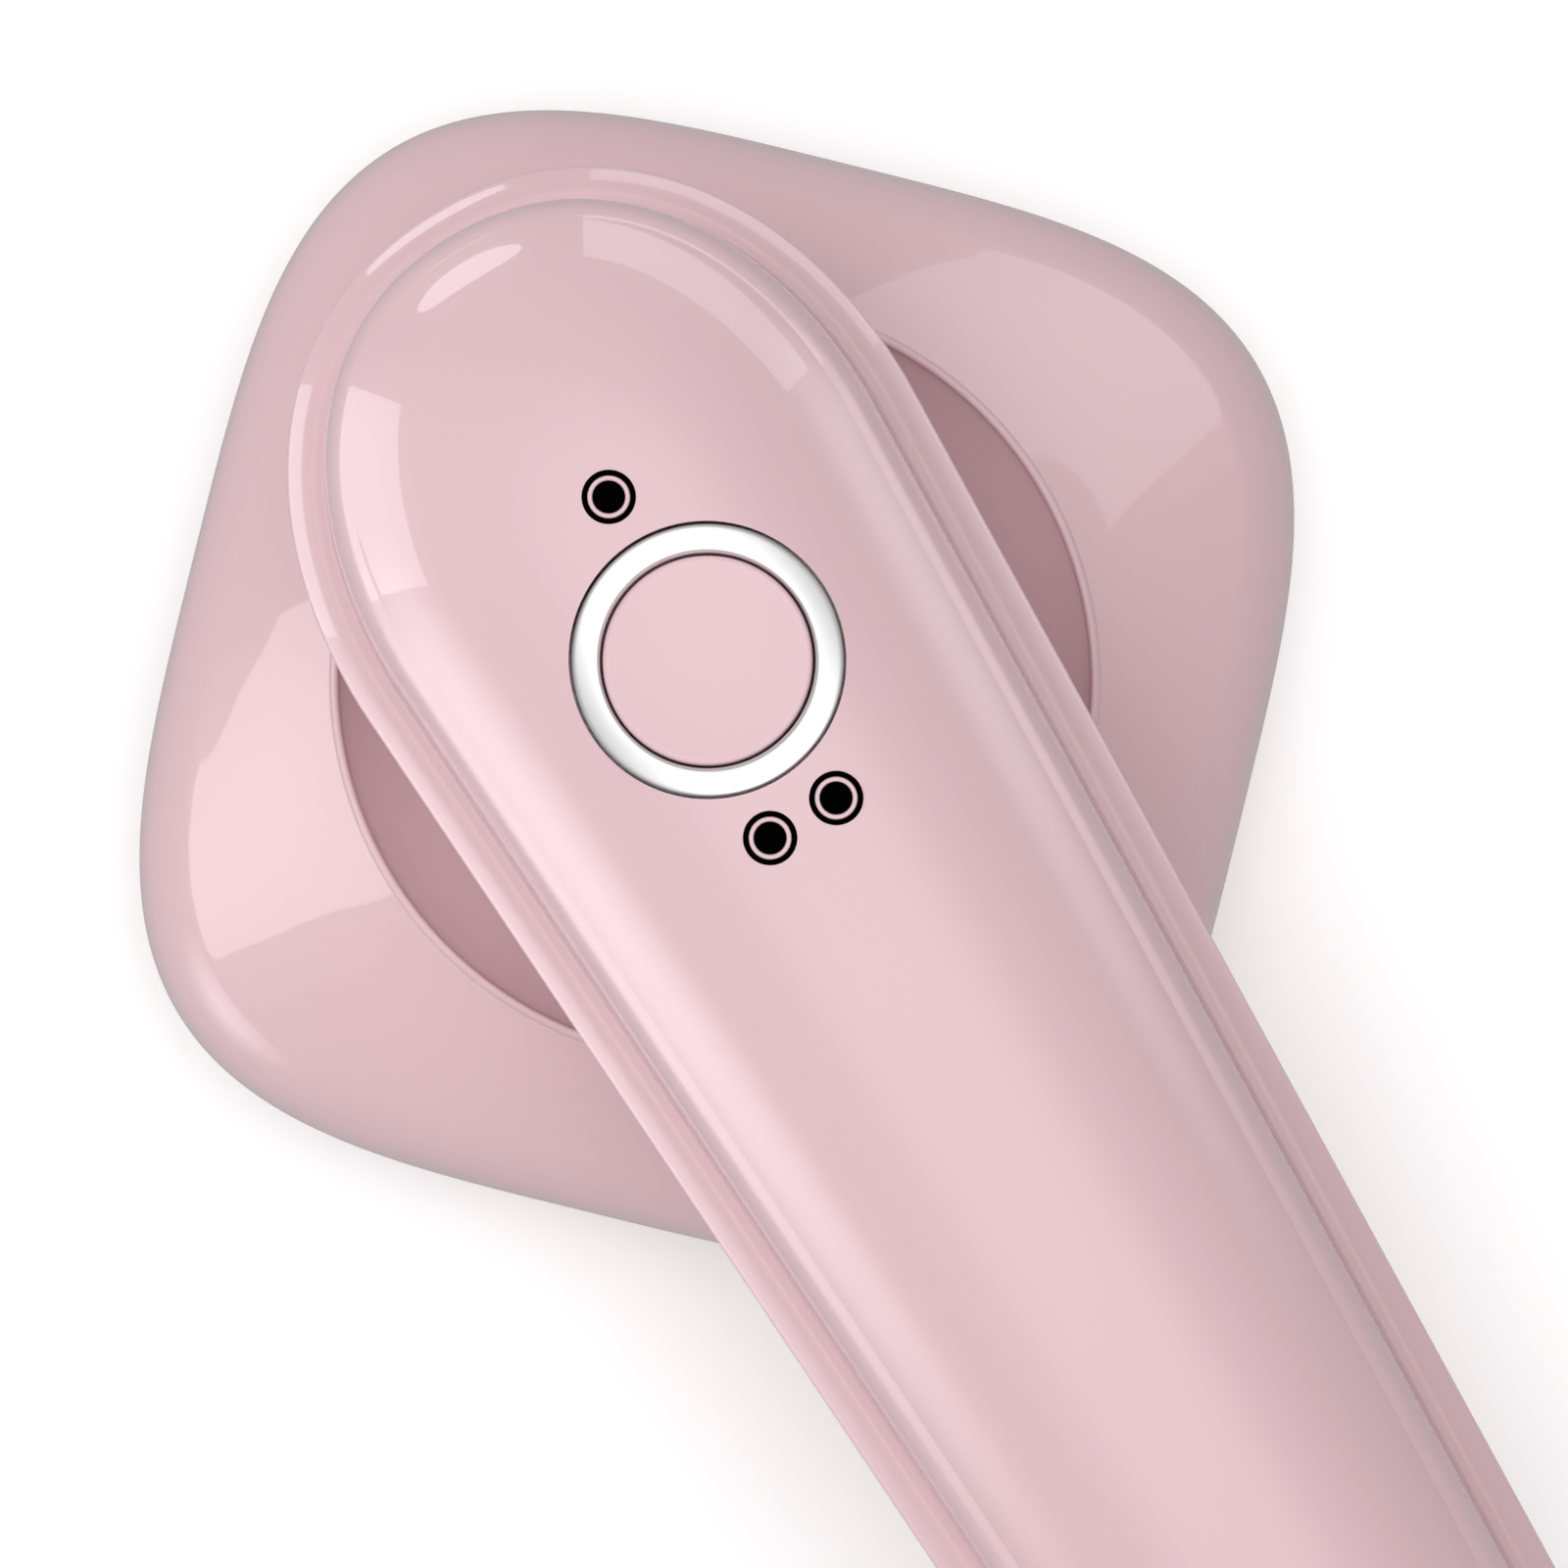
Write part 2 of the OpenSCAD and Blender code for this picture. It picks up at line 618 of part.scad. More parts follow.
module tank_body() {
    color(CLEAR) difference() {
        union() {
            translate([0, 0, tank_z]) linear_extrude(tank_top - tank_z) tank_outline(0);
            translate([0, filler_y, belly_z + 1.7]) cylinder(r = filler_r + 2, h = tank_z - belly_z);
        }
        translate([0, 0, tank_z + tank_wall]) linear_extrude(tank_top) tank_outline(tank_wall);
        translate([0, filler_y, belly_z]) cylinder(r = filler_r, h = 12);
        translate([0, tank_front + 1, tank_z + 4]) rotate([90, 0, 0]) cylinder(r = hose_r, h = 5);
    }
}

module tank_lid() {
    color(CLEAR) translate([0, 0, tank_top]) linear_extrude(1.2) tank_outline(0);
}

module tank_pickup() {
    color(CLEAR) difference() {
        union() {
            translate([0, tank_front + 2, tank_z + 4]) rotate([90, 0, 0]) cylinder(r = hose_r, h = 8);
            translate([0, tank_front - 6, tank_z + 4]) rotate([90, 0, 0]) cylinder(r = 2.4, h = 1.5);
        }
        translate([0, tank_front + 3, tank_z + 4]) rotate([90, 0, 0]) cylinder(r = 1, h = 12);
    }
}

SUCTION = [[0, tank_front + 2.2, tank_z + 4], [0, tank_front + 2.8, tank_z + 4],
           [0, tank_front + 3.6, tank_z + 4.3],
           [0, pump_back - 2, pump_z - 0.3], [0, pump_back - 1.3, pump_z], [0, pump_back - 0.7, pump_z]];

module suction_hose() {
    color(WHITE) wire(smooth(SUCTION, 4), hose_r, [1, 0, 0]);
}

module along_pump(y) {
    translate([0, y, pump_z]) rotate([-90, 0, 0]) children();
}

module pump_body() {
    color(WHITE) difference() {
        union() {
            along_pump(pump_back) cylinder(r = 5, h = 29);
            along_pump(pump_back - 0.5) cylinder(r = 3, h = 31);
        }
        along_pump(pump_back + 3) cylinder(r = 3.6, h = 18);
        along_pump(pump_back - 1) cylinder(r = 1, h = 33);
    }
}

module pump_coil() {
    color(COPPER) along_pump(pump_back + 5) tube(8.4, 5 + gap, 15);
}

module pump_yoke() {
    color(STEEL) difference() {
        translate([-9.4, pump_back + 3.4, pump_z - 8.6]) cube([18.8, 18.2, 17.2]);
        translate([-8.5, pump_back + 5, pump_z - 10]) cube([17, 15, 20]);
        along_pump(pump_back) cylinder(r = 5 + gap, h = 30);
    }
}

module pump_mounts() {
    color(DARK) for (y = [pump_back + 1.2, pump_back + 23.4]) difference() {
        translate([-6.5, y, floor_z + 0.2]) cube([13, 2, 15.4]);
        along_pump(y - 1) cylinder(r = 5 + gap, h = 4);
    }
}

function coil(r, turns, y0, y1, steps) =
    [for (i = [0 : turns * steps]) let (a = i * 360 / steps)
        [r * cos(a), r * sin(a), y0 + (y1 - y0) * i / (turns * steps)]];

module pump_spring() {
    color(STEEL) along_pump(pump_back + 3.3) wire(coil(2.4, 5, 0.3, 5.6, 12), 0.28, [0, 0, 1], 6);
}

module pump_plunger() {
    color(STEEL) along_pump(pump_back + 6.6) difference() {
        cylinder(r = 3.6 - gap, h = 11.8);
        // pocket round the spring's end, and the way for the water
        translate([0, 0, -cut]) cylinder(r = 3.05, h = 4.6);
        translate([0, 0, -cut]) cylinder(r = 1, h = 13);
    }
}

DELIVERY = [[0, pump_back + 30.6, pump_z], [0, -12.5, pump_z + 0.2], [0, -8, pump_z + 1.4],
            [0, -4, pump_z + 1.2], [0, -1.2, pump_z - 1], [0, -0.1, pump_z - 4.5], [0, 0, pump_z - 8]];

module delivery_hose() {
    color(WHITE) {
        wire(smooth(DELIVERY, 4), hose_r, [1, 0, 0], 12);
        difference() {
            translate([0, 0, lid_z + lid_t + 1.5])
                cylinder(r = hose_r, h = pump_z - 8 - lid_z - lid_t - 1.4);
            translate([0, 0, lid_z + lid_t]) cylinder(r = nozzle_r + gap, h = 5.2);
        }
    }
}

// ---------------------------------------------------------------- electrics

module swivel_leads() {
    color([0.75, 0.2, 0.15]) for (a = [150, 90, 30]) rotate(a) {
        translate([4, 0, 20.4]) cylinder(r = 0.75, h = 24);
        translate([4, 0, 44.3]) sphere(r = 0.75, $fn = 24);
        translate([4, 0, 44.3]) rotate([0, 40, 0]) cylinder(r = 0.75, h = 8.5);
    }
    color(WHITE) translate([0, 0, 20.2]) tube(5.4, 2.4, 2);
}

module control_board() {
    color(GREEN) difference() {
        translate([-15, -24, board_z]) cube([30, 50, board_t]);
        for (x = [-12.5, 12.5], y = [-21.5, 18]) translate([x, y, board_z - cut]) cylinder(r = 1.3, h = 2);
        for (x = [-12, 12]) translate([x, 27, board_z - cut]) cylinder(r = 3, h = 2);
    }
}

module board_screws() {
    color(STEEL) for (x = [-12.5, 12.5], y = [-21.5, 18]) translate([x, y, board_z + board_t])
        screw(1.2, 4, 2.2, 1.2);
}

module relay() {
    color([0.15, 0.3, 0.6]) translate([-6, 14, board_z - 11]) cube([15, 10.5, 11]);
}

module capacitors() {
    color(DARK) for (y = [-17.5, -9]) translate([9.8, y, board_z - 8]) cylinder(r = 3.6, h = 8);
}

module tact_switch() {
    color(DARK) translate([-3, -3, board_z + board_t]) cube([6, 6, 3.5]);
    color(SILVER) translate([0, 0, board_z + board_t + 3.4]) cylinder(r = 1.7, h = 0.9);
}

module indicator_leds() {
    color([0.9, 0.5, 0.3]) for (p = INDICATORS) translate([p.x, p.y, board_z + board_t]) {
        cylinder(r = 1.5, h = 3.5);
        translate([0, 0, 3.5]) sphere(r = 1.4, $fn = 32);
    }
}

function indicator_top(p) = crown_z(abs(p.x) / (side(p.y) - crease_in)) + 0.05;

module indicator_lenses() {
    color(DARK) for (p = INDICATORS) translate([p.x, p.y, handle_top_z - 4.5])
        cylinder(r = lens_r, h = indicator_top(p) - handle_top_z + 4.5);
}

module indicator_sleeves() {
    color(PINK) for (p = INDICATORS) translate([p.x, p.y, handle_top_z - 4])
        tube(sleeve_r, lens_r, indicator_top(p) - handle_top_z + 4);
}

module indicator_surrounds() {
    color(DARK) for (p = INDICATORS) translate([p.x, p.y, handle_top_z - 4])
        tube(indicator_r, sleeve_r, indicator_top(p) - handle_top_z + 4);
}

module button_ring() {
    color(SILVER) translate([0, 0, ring_top - ring_t]) {
        tube(ring_r, button_r + 0.1, ring_t);
        tube(ring_r + 0.8, button_r + 0.6, 0.7);
    }
}

module power_button() {
    color(PINK) difference() {
        union() {
            translate([0, 0, ring_top - 0.3 - button_h]) cylinder(r = button_r, h = button_h);
            translate([0, 0, ring_top - 0.3 - button_h]) cylinder(r = button_r + 0.5, h = 0.8);
        }
        translate([0, 0, ring_top - 1.8 - button_h]) tube(button_r - 1.2, 2, button_h);
        // finger dish
        translate([0, 0, ring_top + 59.2]) sphere(r = 60, $fn = 96);
    }
}

module button_spring() {
    z0 = board_z + board_t;
    color(STEEL) translate([0, 0, z0])
        wire(coil(4.6, spring_turns, 0.35, ring_top - 2.4 - z0, 16), 0.3, [0, 0, 1], 6);
}

MAINS = [[5, -111.4, 39], [8.8, -109.6, 42.5], [13.2, -109.2, 45], [side(-103) - 4.35, -103, 44.65],
         [side(-76) - 4.35, -76, 44.65], [side(-46) - 4.35, -46, 44.6], [16.4, -36, 47.2], [12.6, -27, 50],
         [10.5, -23, 51]];

module mains_leads() {
    color([0.35, 0.25, 0.6]) for (s = [0, 1]) mirror([s, 0, 0]) wire(smooth(MAINS, 4), 0.9, [0, 0, 1]);
}

module terminal_block() {
    color(WHITE) difference() {
        translate([-7.4, -118, floor_z + 0.1]) cube([14.8, 5.6, 6.8]);
        for (x = [-5, 5]) translate([x, -115.2, floor_z + 3]) cylinder(r = 1.5, h = 5);
    }
}

module cord_clamp() {
    color(WHITE) {
        translate([-8, -123, floor_z + 0.1]) cube([16, 4, rim_z - cord_r - floor_z - 0.4]);
        difference() {
            translate([-8, -123, rim_z + cord_r + 0.2]) cube([16, 4, 2]);
            for (x = [-6, 6]) translate([x, -121, rim_z]) cylinder(r = 1.3, h = 8);
        }
    }
}

module clamp_screws() {
    color(STEEL) for (x = [-6, 6]) translate([x, -121, rim_z + cord_r + 2.2]) screw(1.2, 8.9, 2.1, 1.3);
}

module cord_gland() {
    color(DARK) translate([0, -tail_reach + 8.4, rim_z]) rotate([90, 0, 0]) difference() {
        union() {
            cylinder(r = 5.5, h = 10);
            cylinder(r = 6.5, h = 1.6);
            translate([0, 0, 8.6]) cylinder(r1 = 6.6, r2 = 6, h = 1.8);
        }
        translate([0, 0, -cut]) cylinder(r = cord_r, h = 12);
    }
}

// ---------------------------------------------------------------- filler cap

module filler_hinge_pin() {
    color(STEEL) translate([-8.5, hinge_y, hinge_z]) rotate([0, 90, 0]) cylinder(r = 0.55, h = 17);
}

module filler_cap() {
    color(PINK) difference() {
        union() {
            translate([-7, hinge_y, belly_z + 0.05]) cube([14, 22.2, 1.2]);
            translate([-7, hinge_y, hinge_z]) rotate([0, 90, 0]) cylinder(r = 1.3, h = 14);
            translate([0, filler_y, belly_z + 1])
                cylinder(r1 = filler_r - 0.1, r2 = filler_r - 0.9, h = 3.6);
        }
        translate([-8, hinge_y, hinge_z]) rotate([0, 90, 0]) cylinder(r = 0.6, h = 16);
        // finger nick at the free end
        translate([0, hinge_y + 23.2, belly_z - 0.4]) cylinder(r = 3, h = 1.2);
    }
}

soleplate();
heating_element();
chamber_gasket();
chamber_lid();
lid_screws();
inlet_nozzle();
thermostat();
thermal_fuse();
heater_leads();
heat_shield();
base_frame();
plate_screws();
cover_screws();
head_cover();
swivel_hub();
hub_screws();
hub_circlip();
spring_washer();
friction_washer();
turntable();
swivel_bush();
turntable_screws();
stop_pin();
handle_lower_shell();
handle_upper_shell();
shell_screws();
tank_body();
tank_lid();
tank_pickup();
suction_hose();
pump_body();
pump_coil();
pump_yoke();
pump_mounts();
pump_spring();
pump_plunger();
delivery_hose();
swivel_leads();
control_board();
board_screws();
relay();
capacitors();
tact_switch();
indicator_leds();
indicator_lenses();
indicator_sleeves();
indicator_surrounds();
button_ring();
button_spring();
power_button();
mains_leads();
terminal_block();
cord_clamp();
clamp_screws();
cord_gland();
filler_hinge_pin();
filler_cap();
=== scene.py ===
"""Looks of a hand-held garment steamer: a rounded-square steam head under a paddle handle that swivels.

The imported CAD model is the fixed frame. The moulded skins, the controls, the filler flap and the cord
gland are smooth surfaces worked out on grids; the inner works keep their CAD solids and get a finish.
Lengths in the classes are millimetres, and meshes are metres in the frame's own axes: +Z up, +Y to the
front corner of the head, the handle's tail to -Y.
"""
import json
import logging
import math
from dataclasses import dataclass, field
from enum import Enum

import bmesh
import bpy
import numpy as np
from mathutils import Matrix, Vector


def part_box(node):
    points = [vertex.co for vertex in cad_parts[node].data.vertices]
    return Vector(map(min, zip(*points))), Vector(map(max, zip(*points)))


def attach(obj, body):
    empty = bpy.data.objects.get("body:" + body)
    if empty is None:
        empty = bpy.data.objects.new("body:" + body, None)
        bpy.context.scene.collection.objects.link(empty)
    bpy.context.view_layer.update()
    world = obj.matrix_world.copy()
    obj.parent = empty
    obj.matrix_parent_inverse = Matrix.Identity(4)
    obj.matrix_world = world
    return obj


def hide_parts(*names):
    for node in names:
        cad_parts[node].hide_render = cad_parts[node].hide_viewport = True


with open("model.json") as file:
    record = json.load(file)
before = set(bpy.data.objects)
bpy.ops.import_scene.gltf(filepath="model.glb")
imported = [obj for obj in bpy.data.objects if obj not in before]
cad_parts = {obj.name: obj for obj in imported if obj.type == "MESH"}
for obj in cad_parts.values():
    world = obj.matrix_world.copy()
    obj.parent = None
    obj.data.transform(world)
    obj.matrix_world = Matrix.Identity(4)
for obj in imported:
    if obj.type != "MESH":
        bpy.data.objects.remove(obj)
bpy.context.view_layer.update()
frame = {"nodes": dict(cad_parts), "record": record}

MM = 0.001
log = logging.getLogger("steamer")


# ------------------------------------------------------------------------------------ meshes


class Ends(Enum):
    """How the first and the last ring of a surface are finished."""

    CAPPED = "each end is closed by one flat face"
    LOOPED = "the last ring joins the first, as on a moulded skin with a wall"
    POLES = "each end runs to a point or a line, whose doubles are merged"


def catmull(points: np.ndarray, per_span: int) -> np.ndarray:
    """Smooth curve through rows of control values.

    Each span is the Catmull-Rom cubic of its four nearest rows, so every column is carried alike.

    Args:
        points: control rows, one value per column.
        per_span: samples for each span.

    Returns:
        Rows along the curve, the last control row included.
    """
    p = np.asarray(points, float)
    a = p[np.maximum(np.arange(len(p) - 1) - 1, 0)]
    b, c = p[:-1], p[1:]
    d = p[np.minimum(np.arange(len(p) - 1) + 2, len(p) - 1)]
    t = (np.arange(per_span) / per_span)[None, :, None]
    a, b, c, d = (q[:, None, :] for q in (a, b, c, d))
    curve = 0.5 * (2 * b + (c - a) * t + (2 * a - 5 * b + 4 * c - d) * t**2 + (3 * b - a - 3 * c + d) * t**3)
    return np.vstack([curve.reshape(-1, p.shape[1]), p[-1:]])


def shade(mesh: bpy.types.Mesh, sharp_deg: float) -> None:
    """Shades a mesh smooth, with edges sharp where they turn by more than the angle."""
    mesh.polygons.foreach_set("use_smooth", np.ones(len(mesh.polygons), bool))
    mesh.set_sharp_from_angle(angle=math.radians(sharp_deg))
    mesh.update()


def clean(mesh: bpy.types.Mesh, sharp_deg: float = 32.0) -> None:
    """Merges doubles, turns faces outwards, shades smooth and marks the sharp edges.

    Args:
        mesh: the mesh to finish.
        sharp_deg: edges that turn by more than this stay sharp.
    """
    work = bmesh.new()
    work.from_mesh(mesh)
    bmesh.ops.remove_doubles(work, verts=work.verts, dist=2e-6)
    bmesh.ops.dissolve_degenerate(work, edges=work.edges, dist=1e-7)
    bmesh.ops.recalc_face_normals(work, faces=work.faces)
    work.to_mesh(mesh)
    work.free()
    shade(mesh, sharp_deg)


def surface(name: str, rings: np.ndarray, ends: Ends, sharp_deg: float = 32.0) -> bpy.types.Object:
    """Makes a closed mesh from a grid of points, in millimetres.

    Point (k, m) of the grid joins (k + 1, m) and (k, m + 1); the grid always closes round m.

    Args:
        name: the new object's name.
        rings: array of rings, shape (rings, points, 3).
        ends: how the first and last ring are finished.
        sharp_deg: edges that turn by more than this stay sharp.

    Returns:
        The object, linked to the scene, at the origin.
    """
    count, around = rings.shape[:2]
    spans = count if ends is Ends.LOOPED else count - 1
    k, m = np.meshgrid(np.arange(spans), np.arange(around), indexing="ij")
    k2, m2 = (k + 1) % count, (m + 1) % around
    quads = np.stack([k * around + m, k * around + m2, k2 * around + m2, k2 * around + m], -1).reshape(-1, 4)
    corners, starts = quads.reshape(-1), np.arange(len(quads)) * 4
    if ends is Ends.CAPPED:
        last = (count - 1) * around
        corners = np.concatenate([corners, np.arange(around)[::-1], last + np.arange(around)])
        starts = np.concatenate([starts, [len(quads) * 4, len(quads) * 4 + around]])
    mesh = bpy.data.meshes.new(name)
    mesh.vertices.add(count * around)
    mesh.vertices.foreach_set("co", (rings * MM).reshape(-1))
    mesh.loops.add(len(corners))
    mesh.loops.foreach_set("vertex_index", corners)
    mesh.polygons.add(len(starts))
    mesh.polygons.foreach_set("loop_start", starts)
    mesh.update(calc_edges=True)
    clean(mesh, sharp_deg)
    piece = bpy.data.objects.new(name, mesh)
    bpy.context.scene.collection.objects.link(piece)
    return piece


def join(name: str, pieces: list[bpy.types.Object], sharp_deg: float = 32.0) -> bpy.types.Object:
    """Puts several closed meshes into one object.

    Args:
        name: the joined object's name.
        pieces: the objects, which are used up.
        sharp_deg: edges that turn by more than this stay sharp.

    Returns:
        The joined object.
    """
    work = bmesh.new()
    for piece in pieces:
        work.from_mesh(piece.data)
    mesh = bpy.data.meshes.new(name)
    work.to_mesh(mesh)
    work.free()
    for piece in pieces:
        bpy.data.meshes.remove(piece.data)
    shade(mesh, sharp_deg)
    joined = bpy.data.objects.new(name, mesh)
    bpy.context.scene.collection.objects.link(joined)
    return joined


def carve(piece: bpy.types.Object, cutters: list[bpy.types.Object], sharp_deg: float = 32.0) -> None:
    """Cuts holes and pockets into a closed mesh with exact booleans, and removes the cutters.

    Args:
        piece: the mesh that is cut.
        cutters: closed meshes that don't touch each other.
        sharp_deg: edges that turn by more than this stay sharp.
    """
    cutter = join(piece.name + "_cutter", cutters)
    step = piece.modifiers.new("cut", "BOOLEAN")
    step.object, step.operation, step.solver = cutter, "DIFFERENCE", "EXACT"
    graph = bpy.context.evaluated_depsgraph_get()
    cut = bpy.data.meshes.new_from_object(piece.evaluated_get(graph))
    piece.modifiers.clear()
    old = piece.data
    piece.data = cut
    cut.name = piece.name
    bpy.data.meshes.remove(old)
    bpy.data.meshes.remove(cutter.data)
    clean(cut, sharp_deg)


def turned(name: str, profile: list[tuple[float, float]], at: tuple[float, float, float] = (0, 0, 0),
           ends: Ends = Ends.LOOPED, around: int = 96, sharp_deg: float = 32.0,
           axis: str = "Z") -> bpy.types.Object:
    """A turned solid: a profile of (radius, height) carried once round an axis.

    Point = centre + radius * (cos, sin) across the axis + height along it.

    Args:
        name: the object's name.
        profile: rows of radius and height.
        at: a point on the axis, where height is 0.
        ends: LOOPED for a ring, POLES where the profile starts and ends on the axis.
        around: points round the axis.
        sharp_deg: edges that turn by more than this stay sharp.
        axis: "X", "Y" or "Z".

    Returns:
        The object.
    """
    p = np.asarray(profile, float)
    angle = np.arange(around) * 2 * math.pi / around
    u = p[:, :1] * np.cos(angle)
    v = p[:, :1] * np.sin(angle)
    w = np.broadcast_to(p[:, 1:], u.shape)
    order = {"Z": (u, v, w), "Y": (v, w, u), "X": (w, u, v)}[axis]
    return surface(name, np.stack(order, -1) + np.asarray(at, float), ends, sharp_deg)


def rod(name: str, radius: float, at: tuple[float, float, float], length: float,
        axis: str = "Z") -> bpy.types.Object:
    """A plain round rod, used only as a cutter, from `at` along the axis."""
    return turned(name, [(0, 0), (radius, 0), (radius, length), (0, length)], at, Ends.POLES, axis=axis)


def rounded_rectangle(width: float, length: float, radius: float, per_corner: int = 8) -> np.ndarray:
    """Outline of a rectangle with round corners, centred: each corner is a quarter circle."""
    quarter = np.linspace(0, math.pi / 2, per_corner)
    parts = []
    for turn, (sx, sy) in enumerate(((1, 1), (-1, 1), (-1, -1), (1, -1))):
        a = quarter + turn * math.pi / 2
        centre = np.array([sx * (width / 2 - radius), sy * (length / 2 - radius)])
        parts.append(centre + radius * np.stack([np.cos(a), np.sin(a)], -1))
    return np.vstack(parts)


def slab(name: str, outline: np.ndarray, levels: list[tuple[float, float]],
         centre: tuple[float, float]) -> bpy.types.Object:
    """A moulded slab: an outline stacked at several heights, each shrunk by its own inset.

    Args:
        name: the object's name.
        outline: centred outline, one row per point.
        levels: rows of inset and height.
        centre: where the outline's centre goes.

    Returns:
        The object.
    """
    half = np.abs(outline).max(0)
    rings = []
    for inset, z in levels:
        ring = outline * (1 - inset / half) + np.asarray(centre)
        rings.append(np.column_stack([ring, np.full(len(ring), z)]))
    return surface(name, np.array(rings), Ends.CAPPED)


# ------------------------------------------------------------------------------------ finishes


def linear(hex_colour: str) -> tuple[float, float, float, float]:
    """Turns an sRGB hex colour into linear RGBA."""
    values = np.array([int(hex_colour[i : i + 2], 16) for i in (1, 3, 5)]) / 255
    out = np.where(values <= 0.04045, values / 12.92, ((values + 0.055) / 1.055) ** 2.4)
    return (*out.tolist(), 1.0)


def add_node(tree: bpy.types.NodeTree, kind: str, settings: dict | None = None,
             links: dict | None = None) -> bpy.types.Node:
    """Adds one shader node with its settings and its links.

    Args:
        tree: the material's tree.
        kind: Blender's node type.
        settings: attribute names and values; a name that is an input socket sets that socket.
        links: input socket names and the output sockets that feed them.

    Returns:
        The node.
    """
    made = tree.nodes.new(kind)
    for key, value in (settings or {}).items():
        if hasattr(made, key):
            setattr(made, key, value)
        else:
            made.inputs[key].default_value = value
    for key, socket in (links or {}).items():
        tree.links.new(socket, made.inputs[key])
    return made


class Grain(Enum):
    """Surface pattern of a finish. Each value is the pattern's stretch along X, Y and Z."""

    PEEL = (1.0, 1.0, 1.0)
    BRUSHED = (0.04, 1.0, 1.0)
    WOUND = (1.0, 30.0, 1.0)


@dataclass(frozen=True)
class Finish:
    """One real material and how its surface was made.

    The base colour is mottled a little between two shades, the roughness varies with wear, and a fine
    bump follows the grain. All three read Object coordinates, so they hold still on the piece.
    """

    name: str
    light: str
    dark: str
    roughness: float
    wear: float = 0.04
    metallic: float = 0.0
    ior: float = 1.5
    grain: Grain = Grain.PEEL
    grain_mm: float = 2.0
    bump_mm: float = 0.002
    mottle_mm: float = 25.0
    coat: float = 0.0
    coat_roughness: float = 0.05
    transmission: float = 0.0
    extra: dict = field(default_factory=dict)

    def material(self) -> bpy.types.Material:
        """Builds the node material, or returns it if it was built before."""
        if self.name in bpy.data.materials:
            return bpy.data.materials[self.name]
        made = bpy.data.materials.new(self.name)
        made.use_nodes = True
        tree = made.node_tree
        tree.nodes.clear()
        place = add_node(tree, "ShaderNodeTexCoord").outputs["Object"]
        stretch = add_node(tree, "ShaderNodeMapping", {"Scale": self.grain.value}, {"Vector": place})
        fine = add_node(tree, "ShaderNodeTexNoise", {"Scale": 1 / (self.grain_mm * MM), "Detail": 3.0,
                        "Roughness": 0.55}, {"Vector": stretch.outputs["Vector"]})
        broad = add_node(tree, "ShaderNodeTexNoise", {"Scale": 1 / (self.mottle_mm * MM), "Detail": 2.0},
                         {"Vector": place})
        tone = add_node(tree, "ShaderNodeMix", {"data_type": "RGBA"},
                        {"Factor": broad.outputs["Fac"]})
        tone.inputs[6].default_value = linear(self.light)
        tone.inputs[7].default_value = linear(self.dark)
        worn = add_node(tree, "ShaderNodeMapRange", {"To Min": max(self.roughness - self.wear, 0.02),
                        "To Max": self.roughness + self.wear}, {"Value": fine.outputs["Fac"]})
        bump = add_node(tree, "ShaderNodeBump", {"Strength": 1.0, "Distance": self.bump_mm * MM},
                        {"Height": fine.outputs["Fac"]})
        settings = {"Metallic": self.metallic, "Coat Weight": self.coat, "Coat Roughness": self.coat_roughness,
                    "Transmission Weight": self.transmission} | self.extra
        if self.metallic < 0.5:
            settings["IOR"] = self.ior
        shader = add_node(tree, "ShaderNodeBsdfPrincipled", settings,
                          {"Base Color": tone.outputs[2], "Roughness": worn.outputs["Result"],
                           "Normal": bump.outputs["Normal"]})
        add_node(tree, "ShaderNodeOutputMaterial", None, {"Surface": shader.outputs["BSDF"]})
        return made


# ABS moulded against a polished tool: high gloss, a broad and very faint orange peel.
PINK_ABS = Finish("moulded_pink_abs", "#D5B4B9", "#D2B1B7", 0.4, 0.03, grain_mm=4.0, bump_mm=0.003,
                  mottle_mm=60.0, coat=1.0, coat_roughness=0.04)
# The same pink in a heat-resistant polyester, with the satin skin that it takes from its mould.
PINK_PBT = Finish("satin_pink_pbt", "#CFAFB4", "#CCACB1", 0.6, 0.03, grain_mm=0.4, bump_mm=0.0015, mottle_mm=60.0,
                  extra={"Specular IOR Level": 0.3})
# Satin nickel plating over ABS: bright, a little soft in reflection.
PLATED = Finish("satin_nickel_plated_abs", "#F4F4F4", "#EEEEEF", 0.42, 0.05, metallic=1.0, grain_mm=0.6,
                bump_mm=0.001, mottle_mm=12.0)
# Die-cast aluminium, its ironing face polished: fine straight polishing marks.
CAST_ALUMINIUM = Finish("polished_cast_aluminium", "#D9DADC", "#CFD0D3", 0.28, 0.08, metallic=1.0,
                        grain=Grain.BRUSHED, grain_mm=0.5, bump_mm=0.004)
# Zinc-plated and stainless steel parts: bright, slightly bluish, brushed.
STEEL = Finish("zinc_plated_steel", "#C4C6CA", "#B4B6BB", 0.3, 0.08, metallic=1.0, grain=Grain.BRUSHED,
               grain_mm=0.4, bump_mm=0.002)
# Turned brass: warm, with fine tool marks.
BRASS = Finish("turned_brass", "#D8B56A", "#C9A052", 0.25, 0.06, metallic=1.0, grain_mm=0.5, bump_mm=0.002)
# Enamelled copper wire in layers: reddish, ribbed by the turns.
COPPER = Finish("enamelled_copper_wire", "#B9693C", "#9C5530", 0.32, 0.06, metallic=1.0, grain=Grain.WOUND,
                grain_mm=18.0, bump_mm=0.12)
# Natural acetal and glass-filled polyamide: milky white, satin.
WHITE_PA = Finish("moulded_white_polyamide", "#E9E7E0", "#DFDCD3", 0.45, 0.06, grain_mm=0.8, bump_mm=0.01)
